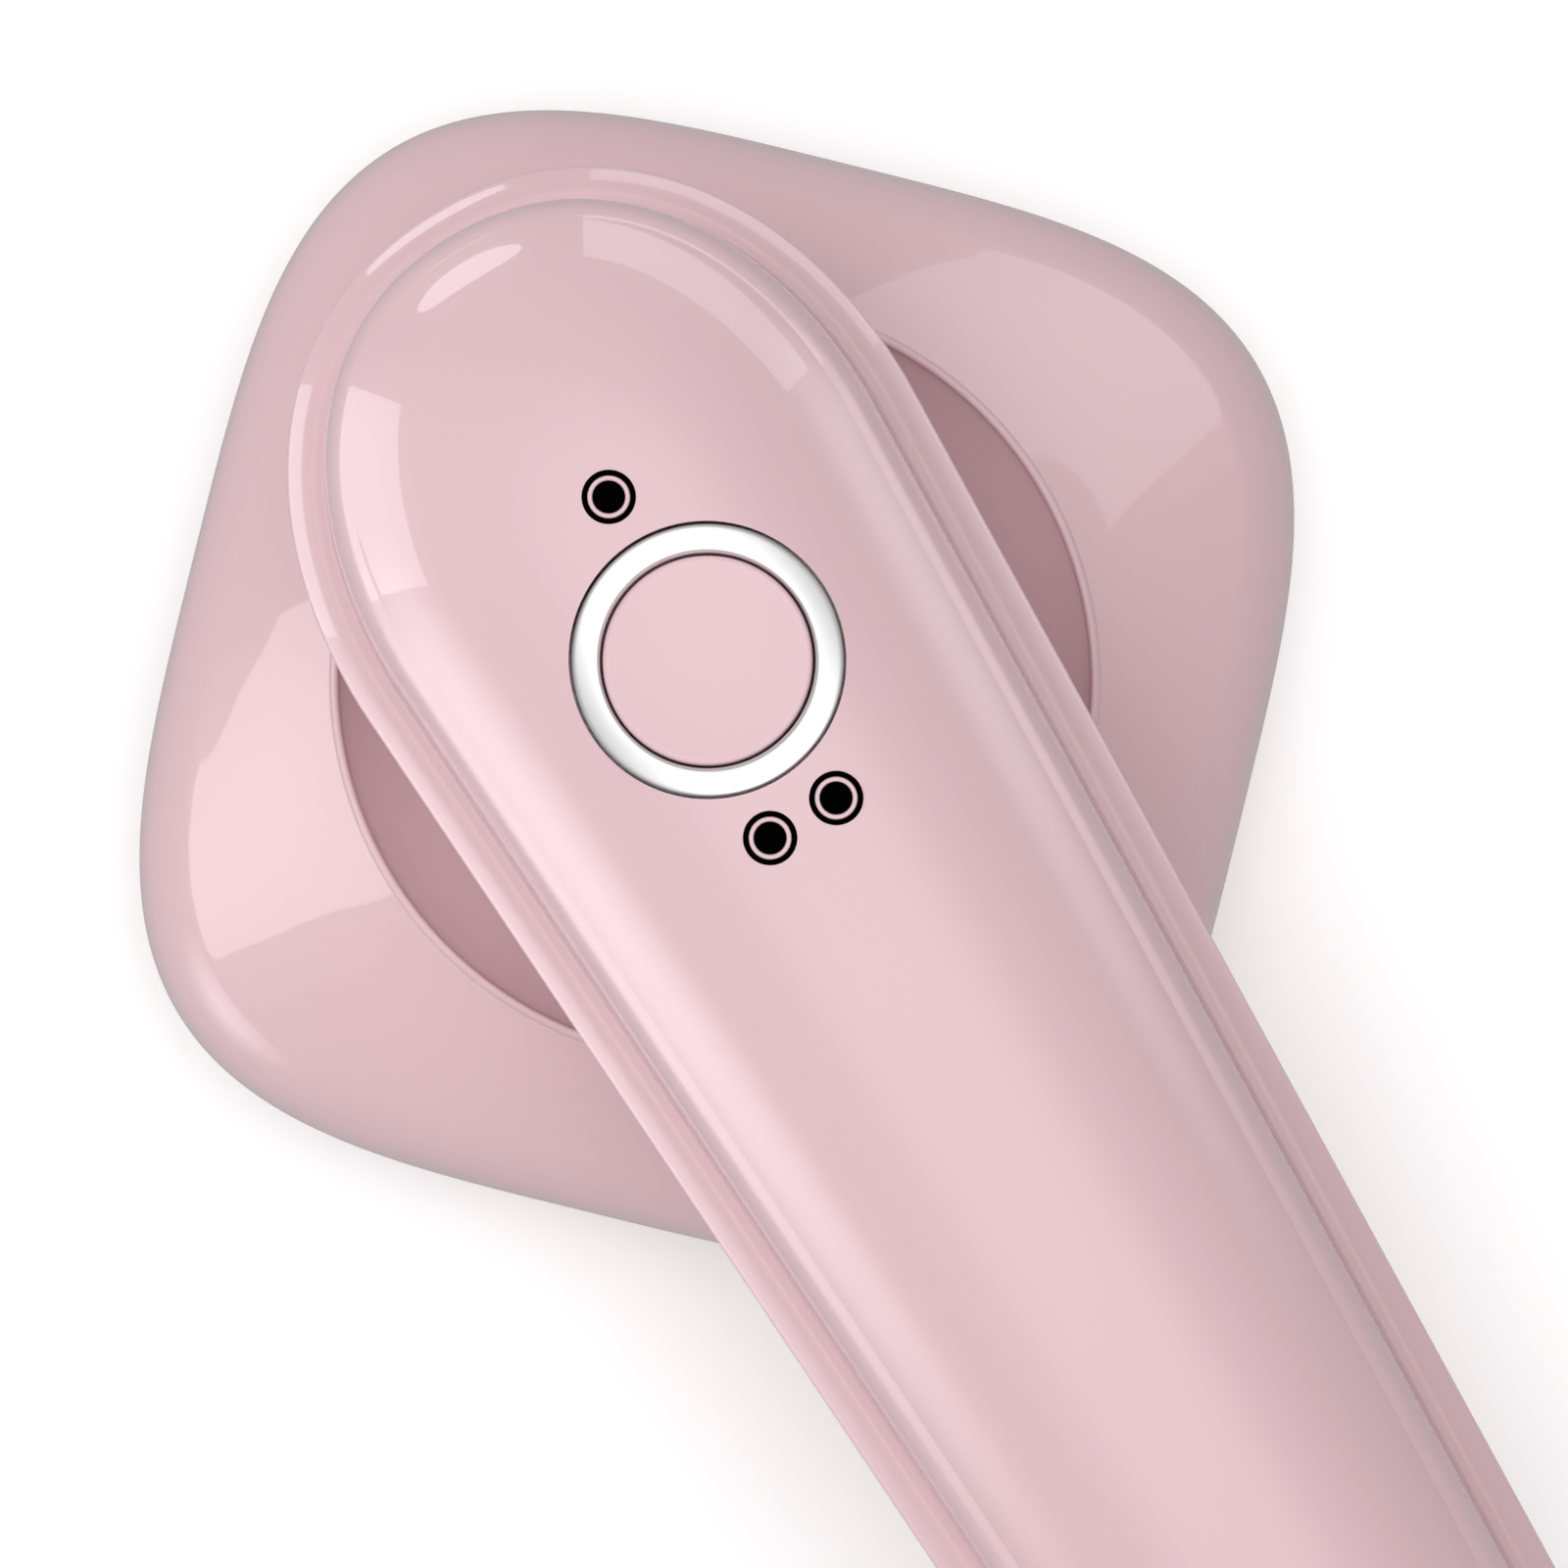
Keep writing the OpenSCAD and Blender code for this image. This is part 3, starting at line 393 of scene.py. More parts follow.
# Black engineering plastic from an eroded tool: matt, finely pitted.
BLACK_PLASTIC = Finish("spark_eroded_black_pbt", "#1B1B1D", "#151517", 0.5, 0.08, grain_mm=0.4, bump_mm=0.02)
# Smoked polycarbonate light window, lightly etched: a near black dot with hardly any shine.
SMOKED_PC = Finish("etched_smoked_polycarbonate", "#040304", "#020202", 0.6, 0.04, ior=1.58, grain_mm=0.6,
                   bump_mm=0.002, extra={"Specular IOR Level": 0.0})
# Moulded nitrile rubber: dull black with a dusty bloom.
BLACK_RUBBER = Finish("moulded_black_nitrile_rubber", "#26262A", "#1C1C1F", 0.62, 0.1, grain_mm=0.5, bump_mm=0.02)
# Red heat-proof silicone sheet.
RED_SILICONE = Finish("red_silicone_rubber", "#C4614F", "#B35543", 0.5, 0.06, ior=1.43, grain_mm=0.7, bump_mm=0.01)
# Pale pink silicone of the filler flap: soft sheen, slightly translucent.
PINK_SILICONE = Finish("moulded_pink_silicone", "#DDBDC3", "#D5B3BA", 0.48, 0.06, ior=1.43, grain_mm=0.8,
                       bump_mm=0.01, extra={"Subsurface Weight": 0.15})
# Translucent silicone hose: milky, waxy.
HOSE = Finish("translucent_silicone_hose", "#E6E4DE", "#DBD9D2", 0.35, 0.05, ior=1.43, grain_mm=1.5,
              bump_mm=0.004, transmission=0.4)
# Clear SAN of the tank: water-clear with a faint blue cast.
CLEAR_SAN = Finish("clear_moulded_san", "#E3EEF4", "#D9E6EE", 0.08, 0.02, ior=1.57, grain_mm=6.0, bump_mm=0.003,
                   transmission=0.85)
# Solder mask over a glass-epoxy board: green, the weave just showing through.
SOLDER_MASK = Finish("solder_masked_glass_epoxy", "#1E6B41", "#17562F", 0.35, 0.08, grain_mm=0.5, bump_mm=0.01)
# Blue relay case.
RELAY_PBT = Finish("moulded_blue_pbt", "#2E55A0", "#274A8C", 0.3, 0.05, grain_mm=1.2, bump_mm=0.006)
# Silicone-insulated stranded wire: soft sheen.
WIRE_SLEEVE = Finish("silicone_wire_sleeve", "#C53F34", "#B0352B", 0.42, 0.06, ior=1.43, grain_mm=0.6,
                     bump_mm=0.006)
# Tinted epoxy of the indicator lamps.
LED_EPOXY = Finish("tinted_epoxy", "#F0A070", "#E59060", 0.12, 0.03, ior=1.55, grain_mm=2.0, bump_mm=0.002,
                   transmission=0.5)

SLOT_FINISH = {
    "pink_abs": PINK_ABS, "plated_ring": PLATED, "cast_aluminium": CAST_ALUMINIUM, "steel": STEEL,
    "brass": BRASS, "copper": COPPER, "white_pa": WHITE_PA, "black_plastic": BLACK_PLASTIC,
    "black_gloss": SMOKED_PC, "black_rubber": BLACK_RUBBER, "silicone": RED_SILICONE,
    "pink_silicone": PINK_SILICONE, "clear_hose": HOSE, "clear_plastic": CLEAR_SAN,
    "circuit_board": SOLDER_MASK, "blue_plastic": RELAY_PBT, "wire_sleeve": WIRE_SLEEVE,
    "led_epoxy": LED_EPOXY,
}


def dress(piece: bpy.types.Object, finish: Finish, body: str, slot: str, *nodes: str) -> bpy.types.Object:
    """Gives a new piece its finish and the body it moves with, and hides the CAD nodes it stands for."""
    piece.data.materials.clear()
    piece.data.materials.append(finish.material())
    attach(piece, body)
    if nodes:
        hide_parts(*nodes)
    log.info("%s: %d faces, %s, on %s", piece.name, len(piece.data.polygons), finish.name, body)
    return piece


# ------------------------------------------------------------------------------------ steam head


@dataclass
class SteamHead:
    """The rounded-square head: its cover with the swivel seat, and the skirt round the soleplate."""

    squareness: float = 3.6
    seat_radius: float = 32.0
    seat_depth: float = 5.0
    wall: float = 2.2
    hub_radius: float = 9.1
    casting_radius: float = 42.1
    fixing_radius: float = 46.5
    fixing_angle: float = 5.5
    fixing_hole: float = 1.4
    around: int = 360
    half: float = field(init=False)
    split_z: float = field(init=False)
    skirt_z: float = field(init=False)
    rim_z: float = field(init=False)

    def __post_init__(self) -> None:
        """Takes the head's size from the CAD boxes of its skirt and cover."""
        low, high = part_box("base_frame")
        corner = 2 ** (0.5 - 1 / self.squareness)
        self.half = high.x / MM / corner
        self.split_z, self.skirt_z = high.z / MM, low.z / MM
        self.rim_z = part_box("head_cover")[1].z / MM

    def rings(self, profile: np.ndarray) -> np.ndarray:
        """Carries a profile round the head.

        Radius at angle a = (1 - mix) * half / (|cos|^n + |sin|^n)^(1/n) + mix * round radius, with the
        squircle's angle turned by 45 degrees so that its corners point along X and Y.

        Args:
            profile: rows of squircle half width, round radius, mix and height.

        Returns:
            Array of rings.
        """
        a = np.arange(self.around) * 2 * math.pi / self.around
        turned_a = a + math.pi / 4
        n = self.squareness
        unit = 1 / (np.abs(np.cos(turned_a)) ** n + np.abs(np.sin(turned_a)) ** n) ** (1 / n)
        half, round_r, mix, z = (profile[:, i : i + 1] for i in range(4))
        radius = (1 - mix) * half * unit + mix * round_r
        return np.stack([radius * np.cos(a), radius * np.sin(a), np.broadcast_to(z, radius.shape)], -1)

    def cover(self) -> bpy.types.Object:
        """The moulded cover: wall, rounded shoulder, sloping top, thin raised rim and the round seat."""
        h, z0, top, r = self.half, self.split_z, self.rim_z, self.seat_radius
        shoulder = catmull(np.array([
            (h - 1.55, r, 0, z0), (h - 1.2, r, 0, z0 + 0.35), (h - 0.95, r, 0, z0 + 1.2), (h - 0.98, r, 0, z0 + 2.6),
            (h - 1.3, r, 0, z0 + 4.7), (h - 1.95, r, 0, z0 + 6.9), (h - 2.9, r, 0, z0 + 9.0),
            (h - 4.1, r, 0, z0 + 10.8), (h - 5.4, r, 0, z0 + 12.25), (h - 6.5, r, 0, z0 + 13.2),
            (h - 7.0, r, 0, z0 + 13.56)]), 8)
        slope = catmull(np.array([
            (h - 7.2, r + 0.75, 0.0, z0 + 13.68), (h - 7.2, r + 0.75, 0.05, z0 + 14.02),
            (h - 7.2, r + 0.75, 0.25, z0 + 15.3), (h - 7.2, r + 0.75, 0.5, z0 + 16.75),
            (h - 7.2, r + 0.75, 0.75, z0 + 18.08), (h - 7.2, r + 0.75, 1.0, top - 0.75)]), 8)
        bead = catmull(np.array([
            (h, r + 0.68, 1, top - 0.6), (h, r + 0.58, 1, top - 0.3), (h, r + 0.4, 1, top - 0.06),
            (h, r + 0.15, 1, top), (h, r - 0.1, 1, top - 0.12), (h, r - 0.3, 1, top - 0.5),
            (h, r - 0.9, 1, top - 1.15), (h, r - 2.2, 1, top - 2.2), (h, r - 4.0, 1, top - 3.3),
            (h, r - 6.0, 1, top - 4.25), (h, r - 7.6, 1, top - 4.8), (h, r - 8.6, 1, top - self.seat_depth)]), 6)
        floor_z, under = top - self.seat_depth, top - self.seat_depth - self.wall
        inside = np.array([
            (h, self.hub_radius + 0.4, 1, floor_z), (h, self.hub_radius, 1, floor_z - 0.3),
            (h, self.hub_radius, 1, under), (h, r - 8, 1, under), (h, r - 1.5, 1, under + 2),
            (h, r + 0.2, 1, top - 2.8), (h - 10, r, 0.3, z0 + 12.6), (h - 9.6, r, 0, z0 + 11.9),
            (h - 7.6, r, 0, z0 + 10.8),
            (h - 5.4, r, 0, z0 + 8.6), (h - 4.2, r, 0, z0 + 5.2), (h - 3.5, r, 0, z0 + 2), (h - 3.6, r, 0, z0)])
        profile = np.vstack([shoulder, slope, bead, inside])
        cover = surface("head_cover_moulding", self.rings(profile), Ends.LOOPED, 40)
        self.cut_stop_slot(cover, floor_z)
        boss = [(3, 0), (3, 16.5), (1.3, 16.5), (1.3, 0)]
        bosses = [turned("boss", boss, (*self.fixing(corner, 1), z0 - 5), around=32) for corner in range(4)]
        cover = join("head_cover_moulding", [cover, *bosses], 40)
        return dress(cover, PINK_ABS, "head", "pink_abs", "head_cover")

    def cut_stop_slot(self, cover: bpy.types.Object, floor_z: float) -> None:
        """Cuts the half-round slot that limits the swivel, and the four hub screw holes."""
        low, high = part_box("stop_pin")
        path, width = (low.y + high.y) / 2 / MM, (high.x - low.x) / MM + 0.6
        sweep = np.radians(np.linspace(-5, 185, 96))
        outer, inner = path + width / 2, path - width / 2
        ring = np.vstack([np.column_stack([outer * np.cos(sweep), outer * np.sin(sweep)]),
                          np.column_stack([inner * np.cos(sweep[::-1]), inner * np.sin(sweep[::-1])])])
        rings = np.array([np.column_stack([ring, np.full(len(ring), z)]) for z in (floor_z - 1.5, floor_z + 1)])
        cutters = [surface("slot", rings, Ends.CAPPED)]
        for turn in range(4):
            a = math.radians(45 + 90 * turn)
            at = (13.2 * math.cos(a), 13.2 * math.sin(a), floor_z)
            countersunk = [(0, -4), (1.5, -4), (1.5, -1.3), (2.9, 0.1), (0, 0.1)]
            cutters.append(turned("hole", countersunk, at, Ends.POLES, 32))
        carve(cover, cutters, 40)

    def fixing(self, corner: int, side: int) -> tuple[float, float]:
        """Place of a fixing beside a corner of the head; side is 1 or -1."""
        a = math.radians(90 * corner + side * self.fixing_angle)
        return self.fixing_radius * math.cos(a), self.fixing_radius * math.sin(a)

    def skirt(self) -> bpy.types.Object:
        """The insulating skirt: a rolled lip that stands a little proud of the cover, and its flange."""
        h, z0, z1, r = self.half, self.skirt_z, self.split_z, self.casting_radius
        lip = catmull(np.array([
            (h - 1.6, r, 0, z0), (h - 0.75, r, 0, z0 + 0.7), (h - 0.12, r, 0, z0 + 2.2), (h, r, 0, z0 + 3.7),
            (h - 0.1, r, 0, z0 + 4.9), (h - 0.5, r, 0, z0 + 6.1), (h - 1.15, r, 0, z1 - 0.2),
            (h - 1.6, r, 0, z1)]), 8)
        inner = np.array([(h - 3.5, r, 0, z1), (h - 3.5, r, 0, z0 + 2.2), (h, r, 1, z0 + 2.2), (h, r, 1, z0 + 0.3),
                          (h - 3.5, r, 0, z0 + 0.3), (h - 3.2, r, 0, z0)])
        skirt = surface("base_frame_moulding", self.rings(np.vstack([lip, inner])), Ends.LOOPED, 40)
        carve(skirt, [rod("hole", self.fixing_hole, (*self.fixing(corner, side), z0 - 1), 4)
                      for corner in range(4) for side in (1, -1)], 40)
        return dress(skirt, PINK_PBT, "head", "pink_abs", "base_frame")


# ------------------------------------------------------------------------------------ handle


@dataclass
class Handle:
    """The paddle handle: two moulded half shells that meet at a parting line."""

    taper: float = 0.0456
    front_depth: float = 30.6
    tail_depth: float = 16.0
    front_power: float = 2.15
    tail_power: float = 2.4
    crown_power: float = 3.0
    crease: float = 6.3
    crease_height: float = 12.0
    ring_hole: float = 10.1
    indicator_hole: float = 1.98
    surround_radius: float = 1.95
    swivel_hole: float = 13.5
    neck_hole: float = 6.2
    neck_y: float = -92.0
    gland_hole: float = 5.6
    half: float = field(init=False)
    front_y: float = field(init=False)
    tail_y: float = field(init=False)
    rim_z: float = field(init=False)
    top_z: float = field(init=False)
    belly_z: float = field(init=False)
    ring_top: float = field(init=False)
    indicators: list[tuple[float, float]] = field(init=False)

    def __post_init__(self) -> None:
        """Takes the handle's places from the CAD boxes."""
        low, high = (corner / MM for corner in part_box("handle_upper_shell"))
        self.half, self.top_z = high.x, high.z
        self.front_y, self.tail_y = high.y - self.front_depth, low.y + self.tail_depth
        lower = [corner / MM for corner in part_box("handle_lower_shell")]
        self.belly_z, self.rim_z = lower[0].z, lower[1].z
        self.ring_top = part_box("button_ring")[1].z / MM
        low, high = (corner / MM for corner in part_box("indicator_surrounds"))
        r = self.surround_radius
        self.indicators = [(0.0, high.y - r), (high.x - r, low.y + r), (low.x + r, low.y + r)]

    def side(self, y: np.ndarray | float) -> np.ndarray | float:
        """Half width at y before the ends are rounded: a straight taper towards the tail."""
        return self.half - (self.front_y - y) * self.taper

    def outline(self, inset: float, shrink: float) -> np.ndarray:
        """Outline of the handle, set in by inset and then shrunk towards its middle line.

        Each end is a superellipse arc, x = w sgn(cos) |cos|^(2/p), y = centre + d sgn(sin) |sin|^(2/p);
        straight tapered sides join them.

        Args:
            inset: distance in from the widest outline.
            shrink: 1 for the full outline, 0 for the middle line.

        Returns:
            Rows of x and y, anticlockwise from the right side of the front.
        """
        def arc(width: float, depth: float, centre: float, power: float, start: float, steps: int) -> np.ndarray:
            """Half a superellipse, from the start angle on."""
            a = np.radians(start + np.linspace(0, 180, steps))
            c, s = np.cos(a), np.sin(a)
            return np.column_stack([width * np.sign(c) * np.abs(c) ** (2 / power),
                                    centre + depth * np.sign(s) * np.abs(s) ** (2 / power)])

        front = arc((self.side(self.front_y) - inset) * shrink, (self.front_depth - inset) * shrink, self.front_y,
                    self.front_power, 0, 121)
        tail = arc((self.side(self.tail_y) - inset) * shrink, (self.tail_depth - inset) * shrink, self.tail_y,
                   self.tail_power, 180, 81)
        down = np.linspace(0, 1, 132)[1:-1, None]
        left = front[-1] * (1 - down) + tail[0] * down
        right = tail[-1] * (1 - down) + front[0] * down
        return np.vstack([front, left, tail, right])

    def rings(self, profile: np.ndarray) -> np.ndarray:
        """Carries a profile of (inset, shrink, height) round the handle's outline."""
        return np.array([self.ring(d, f, z) for d, f, z in profile])

    def ring(self, inset: float, shrink: float, z: float) -> np.ndarray:
        """One ring of the skin at height z."""
        outline = self.outline(inset, shrink)
        return np.column_stack([outline, np.full(len(outline), z)])

    def crown(self, shrink: np.ndarray) -> np.ndarray:
        """Height of the crown: it falls from the top as shrink to the crown's power."""
        foot = self.rim_z + self.crease_height
        return foot + (self.top_z - foot) * (1 - np.abs(shrink) ** self.crown_power)

    def height_at(self, x: np.ndarray | float, y: np.ndarray | float) -> np.ndarray | float:
        """Height of the crown at points near the button.

        Shrink there = (|x / half width|^p + (y ahead of the front centre / depth)^p)^(1/p).
        """
        width = self.side(np.minimum(y, self.front_y)) - self.crease
        ahead = np.maximum(np.asarray(y) - self.front_y, 0) / (self.front_depth - self.crease)
        shrink = (np.abs(x / width) ** self.front_power + ahead ** self.front_power) ** (1 / self.front_power)
        return self.crown(shrink)

    def upper(self) -> bpy.types.Object:
        """The upper shell: edge bead, fine groove, shoulder, soft crease and crown, with its holes."""
        z = self.rim_z
        edge = catmull(np.array([
            (0.35, 1, z + 0.02), (0.06, 1, z + 0.2), (0, 1, z + 0.5), (0.07, 1, z + 0.78), (0.3, 1, z + 1.04),
            (0.7, 1, z + 1.34), (1.1, 1, z + 1.62), (1.5, 1, z + 1.86), (1.9, 1, z + 2.02), (2.3, 1, z + 2.06),
            (2.7, 1, z + 2.0), (3.0, 1, z + 1.96)]), 6)
        wall = catmull(np.array([
            (3.25, 1, z + 2.15), (3.47, 1, z + 2.9), (3.64, 1, z + 4.1), (3.8, 1, z + 5.6), (3.98, 1, z + 7.2),
            (4.3, 1, z + 8.8), (4.8, 1, z + 10.1), (5.45, 1, z + 11.15), (6.2, 1, z + 11.93)]), 6)
        shrink = np.array([1.0, 0.975, 0.95, 0.92, 0.88, 0.84, 0.79, 0.74, 0.68, 0.62, 0.56, 0.5, 0.44, 0.38,
                           0.32, 0.26, 0.2, 0.14, 0.08, 0.03, 0.0])
        crown = np.column_stack([np.full(len(shrink), self.crease), shrink, self.crown(shrink)])
        outer = np.vstack([edge, wall, catmull(crown, 3)])
        inner_shrink = np.array([0.0, 0.2, 0.35, 0.5, 0.62, 0.74, 0.84, 0.92])
        inner = np.vstack([
            np.column_stack([np.full(len(inner_shrink), self.crease + 2), inner_shrink,
                             self.crown(inner_shrink) - 2.2]),
            [(self.crease + 1.9, 1, z + 9.8), (6.4, 1, z + 8), (5.7, 1, z + 4.4), (5.2, 1, z + 0.3),
             (2.4, 1, z + 0.3), (2.2, 1, z + 0.02)]])
        shell = surface("handle_upper_moulding", self.rings(np.vstack([inner, outer])), Ends.POLES, 40)
        cutters = [rod("ring_hole", self.ring_hole, (0, 0, self.top_z - 8), 14)]
        cutters += [rod("lamp_hole", self.indicator_hole, (x, y, self.top_z - 8), 14) for x, y in self.indicators]
        carve(shell, [*cutters, self.gland_cutter()], 40)
        posts = [self.post(x, y, z - 0.4, 9.0) for x, y in self.posts()]
        shell = join("handle_upper_moulding", [shell, *posts], 40)
        return dress(shell, PINK_ABS, "handle", "pink_abs", "handle_upper_shell")

    def gland_cutter(self) -> bpy.types.Object:
        """Cutter for the cord gland's hole, which lies across the parting line."""
        return rod("gland_hole", self.gland_hole, (0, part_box("cord_gland")[0].y / MM - 1, self.rim_z), 9, "Y")

    def posts(self) -> list[tuple[float, float]]:
        """Places of the six shell screws, mirrored pairs along the handle."""
        pairs = ((12.0, 27.0), (14.8, -47.8), (10.5, -113.5))
        return [(sign * x, y) for x, y in pairs for sign in (-1, 1)]

    def post(self, x: float, y: float, z: float, length: float) -> bpy.types.Object:
        """A hollow screw post inside a shell."""
        return turned("post", [(2.6, 0), (2.6, length), (1.35, length), (1.35, 0)], (x, y, z), around=32)

    def lower(self) -> bpy.types.Object:
        """The lower shell: a round-bottomed tray with the swivel hole, screw wells and filler seat."""
        z, floor = self.rim_z, self.belly_z
        outer = catmull(np.array([
            (9.4, 1, floor), (8.2, 1, floor + 0.12), (6.6, 1, floor + 0.65), (4.9, 1, floor + 1.8),
            (3.3, 1, floor + 3.4), (2.1, 1, floor + 5.2), (1.2, 1, floor + 7.4), (0.6, 1, floor + 9.8),
            (0.35, 1, z - 0.9), (0.35, 1, z - 0.2), (0.6, 1, z - 0.02)]), 6)
        inner = np.array([(2.3, 1, z - 0.02), (2.6, 1, z - 4), (3.3, 1, floor + 5.4), (5.0, 1, floor + 3.6),
                          (7.2, 1, floor + 2.3), (9.8, 1, floor + 2.0)])
        profile = np.vstack([[(9.4, 0.0, floor), (9.4, 0.5, floor)], outer, inner,
                             [(9.8, 0.5, floor + 2), (9.8, 0.0, floor + 2)]])
        shell = surface("handle_lower_moulding", self.rings(profile), Ends.POLES, 40)
        pin_low, pin_high = (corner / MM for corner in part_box("filler_hinge_pin"))
        hinge_y = (pin_low.y + pin_high.y) / 2
        barrel_at = (0, hinge_y - 0.6)
        boss = slab("hinge_floor", rounded_rectangle(19, 8, 1.0), [(0, floor + 1.9), (0, floor + 4.8)], barrel_at)
        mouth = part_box("filler_cap")[1].y / MM + 0.4
        cutters = [rod("swivel_hole", self.swivel_hole, (0, 0, floor - 1), 5),
                   slab("flap_seat", rounded_rectangle(14.6, mouth - hinge_y, 1.6),
                        [(0, floor - 1), (0, floor + 1.4)], (0, (mouth + hinge_y) / 2)),
                   rod("neck_hole", self.neck_hole, (0, self.neck_y, floor + 1.3), 4), self.gland_cutter()]
        cutters += [turned("well", [(0, -1), (2.6, -1), (2.6, 1.7), (1.4, 1.7), (1.4, 3), (0, 3)], (x, y, floor),
                           Ends.POLES, 48) for x, y in self.posts()]
        carve(shell, cutters, 40)
        for piece, levels in ((shell, (floor - 1, floor + 3.0)), (boss, (floor, floor + 3.4))):
            carve(piece, [slab("barrel_pocket", rounded_rectangle(14.6, 4.8, 0.6), [(0, level) for level in levels],
                               barrel_at)], 40)
        posts = [self.post(x, y, floor + 2, z - floor - 2.5) for x, y in self.posts()]
        shell = join("handle_lower_moulding", [shell, boss, *posts], 40)
        return dress(shell, PINK_ABS, "handle", "pink_abs", "handle_lower_shell")


# ------------------------------------------------------------------------------------ controls


@dataclass
class Controls:
    """Push button, its plated ring and the three indicators."""

    handle: Handle
    ring_outer: float = 9.92
    ring_inner: float = 7.86
    cap_radius: float = 7.68
    dish: float = 0.45
    lens: float = 1.2
    sleeve: float = 1.56

    def ring(self) -> bpy.types.Object:
        """The plated ring: a band with small bevels whose top follows the crown, on a flange under the shell.

        Height = profile height below the top + the crown's height there, and the flange stays level.
        """
        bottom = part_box("button_ring")[0].z / MM
        o, i, top = self.ring_outer, self.ring_inner, self.handle.top_z
        crown = catmull(np.array([
            (o, top - 0.5), (o - 0.03, top - 0.16), (o - 0.16, top - 0.02), (o - 0.5, top + 0.02),
            (i + 0.5, top), (i + 0.14, top - 0.08), (i, top - 0.36)]), 6)
        profile = np.vstack([[(o + 0.85, bottom), (o + 0.85, bottom + 0.7), (o, bottom + 0.8)], crown,
                             [(i, bottom + 0.7), (i + 0.45, bottom + 0.6), (i + 0.45, bottom)]])
        angle = np.arange(256) * 2 * math.pi / 256
        x, y = profile[:, :1] * np.cos(angle), profile[:, :1] * np.sin(angle)
        follow = (profile[:, 1:] > bottom + 1) * (self.handle.height_at(x, y) - top)
        band = surface("button_ring_plated", np.stack([x, y, profile[:, 1:] + follow], -1), Ends.LOOPED, 50)
        return dress(band, PLATED, "handle", "plated_ring", "button_ring")

    def cap(self) -> bpy.types.Object:
        """The button: a dished cap with a rolled edge, a skirt, and a stem over the switch."""
        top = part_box("power_button")[1].z / MM
        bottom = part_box("power_button")[0].z / MM
        r = self.cap_radius
        reach = np.linspace(0, 1, 24) ** 0.8 * (r - 0.45)
        dish = np.column_stack([reach, top - self.dish * (1 - (reach / (r - 0.45)) ** 2)])
        edge = catmull(np.array([(r - 0.3, top), (r - 0.1, top - 0.08), (r, top - 0.35)]), 6)
        under = np.array([(r, bottom + 0.85), (r + 0.45, bottom + 0.75), (r + 0.45, bottom), (r - 1.2, bottom),
                          (r - 1.2, top - 1.6), (2, top - 1.6), (1.9, bottom), (0, bottom)])
        profile = np.vstack([dish, edge, under])
        return dress(turned("button_cap_moulding", profile, ends=Ends.POLES, around=192), PINK_ABS, "button",
                     "pink_abs", "power_button")

    def lamps(self) -> list[bpy.types.Object]:
        """Three indicators: a domed lens in a pink sleeve inside a dark surround."""
        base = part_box("indicator_surrounds")[0].z / MM
        lenses, sleeves, surrounds = [], [], []
        for x, y in self.handle.indicators:
            top = float(self.handle.height_at(x, y))
            dome = [(self.lens * math.sin(a), top - 0.05 + 0.06 * math.cos(a))
                    for a in np.linspace(0, math.pi / 2, 12)]
            lenses.append(turned("lens", [*dome, (self.lens, base), (0, base)], (x, y, 0), Ends.POLES, 64))
            for made, outer, inner, lift in ((sleeves, self.sleeve, self.lens, 0.03),
                                             (surrounds, self.handle.surround_radius, self.sleeve, 0.06)):
                band = [(outer, base), (outer, top + lift - 0.08), (outer - 0.07, top + lift),
                        (inner + 0.07, top + lift), (inner, top + lift - 0.08), (inner, base)]
                made.append(turned("band", band, (x, y, 0), around=64))
        return [dress(join("indicator_lens_domes", lenses), SMOKED_PC, "handle", "black_gloss", "indicator_lenses"),
                dress(join("indicator_sleeve_rings", sleeves), PINK_ABS, "handle", "pink_abs", "indicator_sleeves"),
                dress(join("indicator_dark_rings", surrounds), SMOKED_PC, "handle", "black_gloss",
                      "indicator_surrounds")]


@dataclass
class FillerFlap:
    """The silicone flap under the handle: lid, hinge barrel and tapered plug."""

    thickness: float = 1.15
    width: float = 13.9
    barrel: float = 1.28
    neck_y: float = -92.0
    plug_base: float = 3.88
    plug_tip: float = 3.12
    plug_height: float = 3.5

    def flap(self) -> bpy.types.Object:
        """Lid with rolled edges and a thumb nick, hinge barrel round its pin, and ribbed plug."""
        low, high = (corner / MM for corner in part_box("filler_cap"))
        pin_low, pin_high = (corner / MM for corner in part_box("filler_hinge_pin"))
        hinge_y, hinge_z = (pin_low.y + pin_high.y) / 2, (pin_low.z + pin_high.z) / 2
        z = low.z
        length = high.y - hinge_y
        lid = slab("lid", rounded_rectangle(self.width, length, 1.5, 12),
                   [(0.35, z), (0.1, z + 0.08), (0, z + 0.3), (0, z + self.thickness - 0.25),
                    (0.2, z + self.thickness)], (0, hinge_y + length / 2))
        carve(lid, [rod("nick", 3.0, (0, hinge_y + length + 1.2, z - 0.5), 1.0)])
        half = self.width / 2
        barrel = turned("barrel", [(self.barrel, -half), (self.barrel, half), (0.6, half), (0.6, -half)],
                        (0, hinge_y, hinge_z), around=48, axis="X")
        base = z + self.thickness - 0.1
        ribs = [(0, base)]
        steps = 5
        for step in range(steps + 1):
            share = step / steps
            radius = self.plug_base + (self.plug_tip - self.plug_base) * share
            ribs.append((radius, base + self.plug_height * share))
            if step < steps:
                ribs.append((radius - 0.25, base + self.plug_height * (share + 0.6 / steps)))
        ribs.append((0, base + self.plug_height))
        plug = turned("plug", ribs, (0, self.neck_y, 0), Ends.POLES, 64)
        return dress(join("filler_flap_moulding", [lid, barrel, plug]), PINK_SILICONE, "cap", "pink_silicone",
                     "filler_cap")


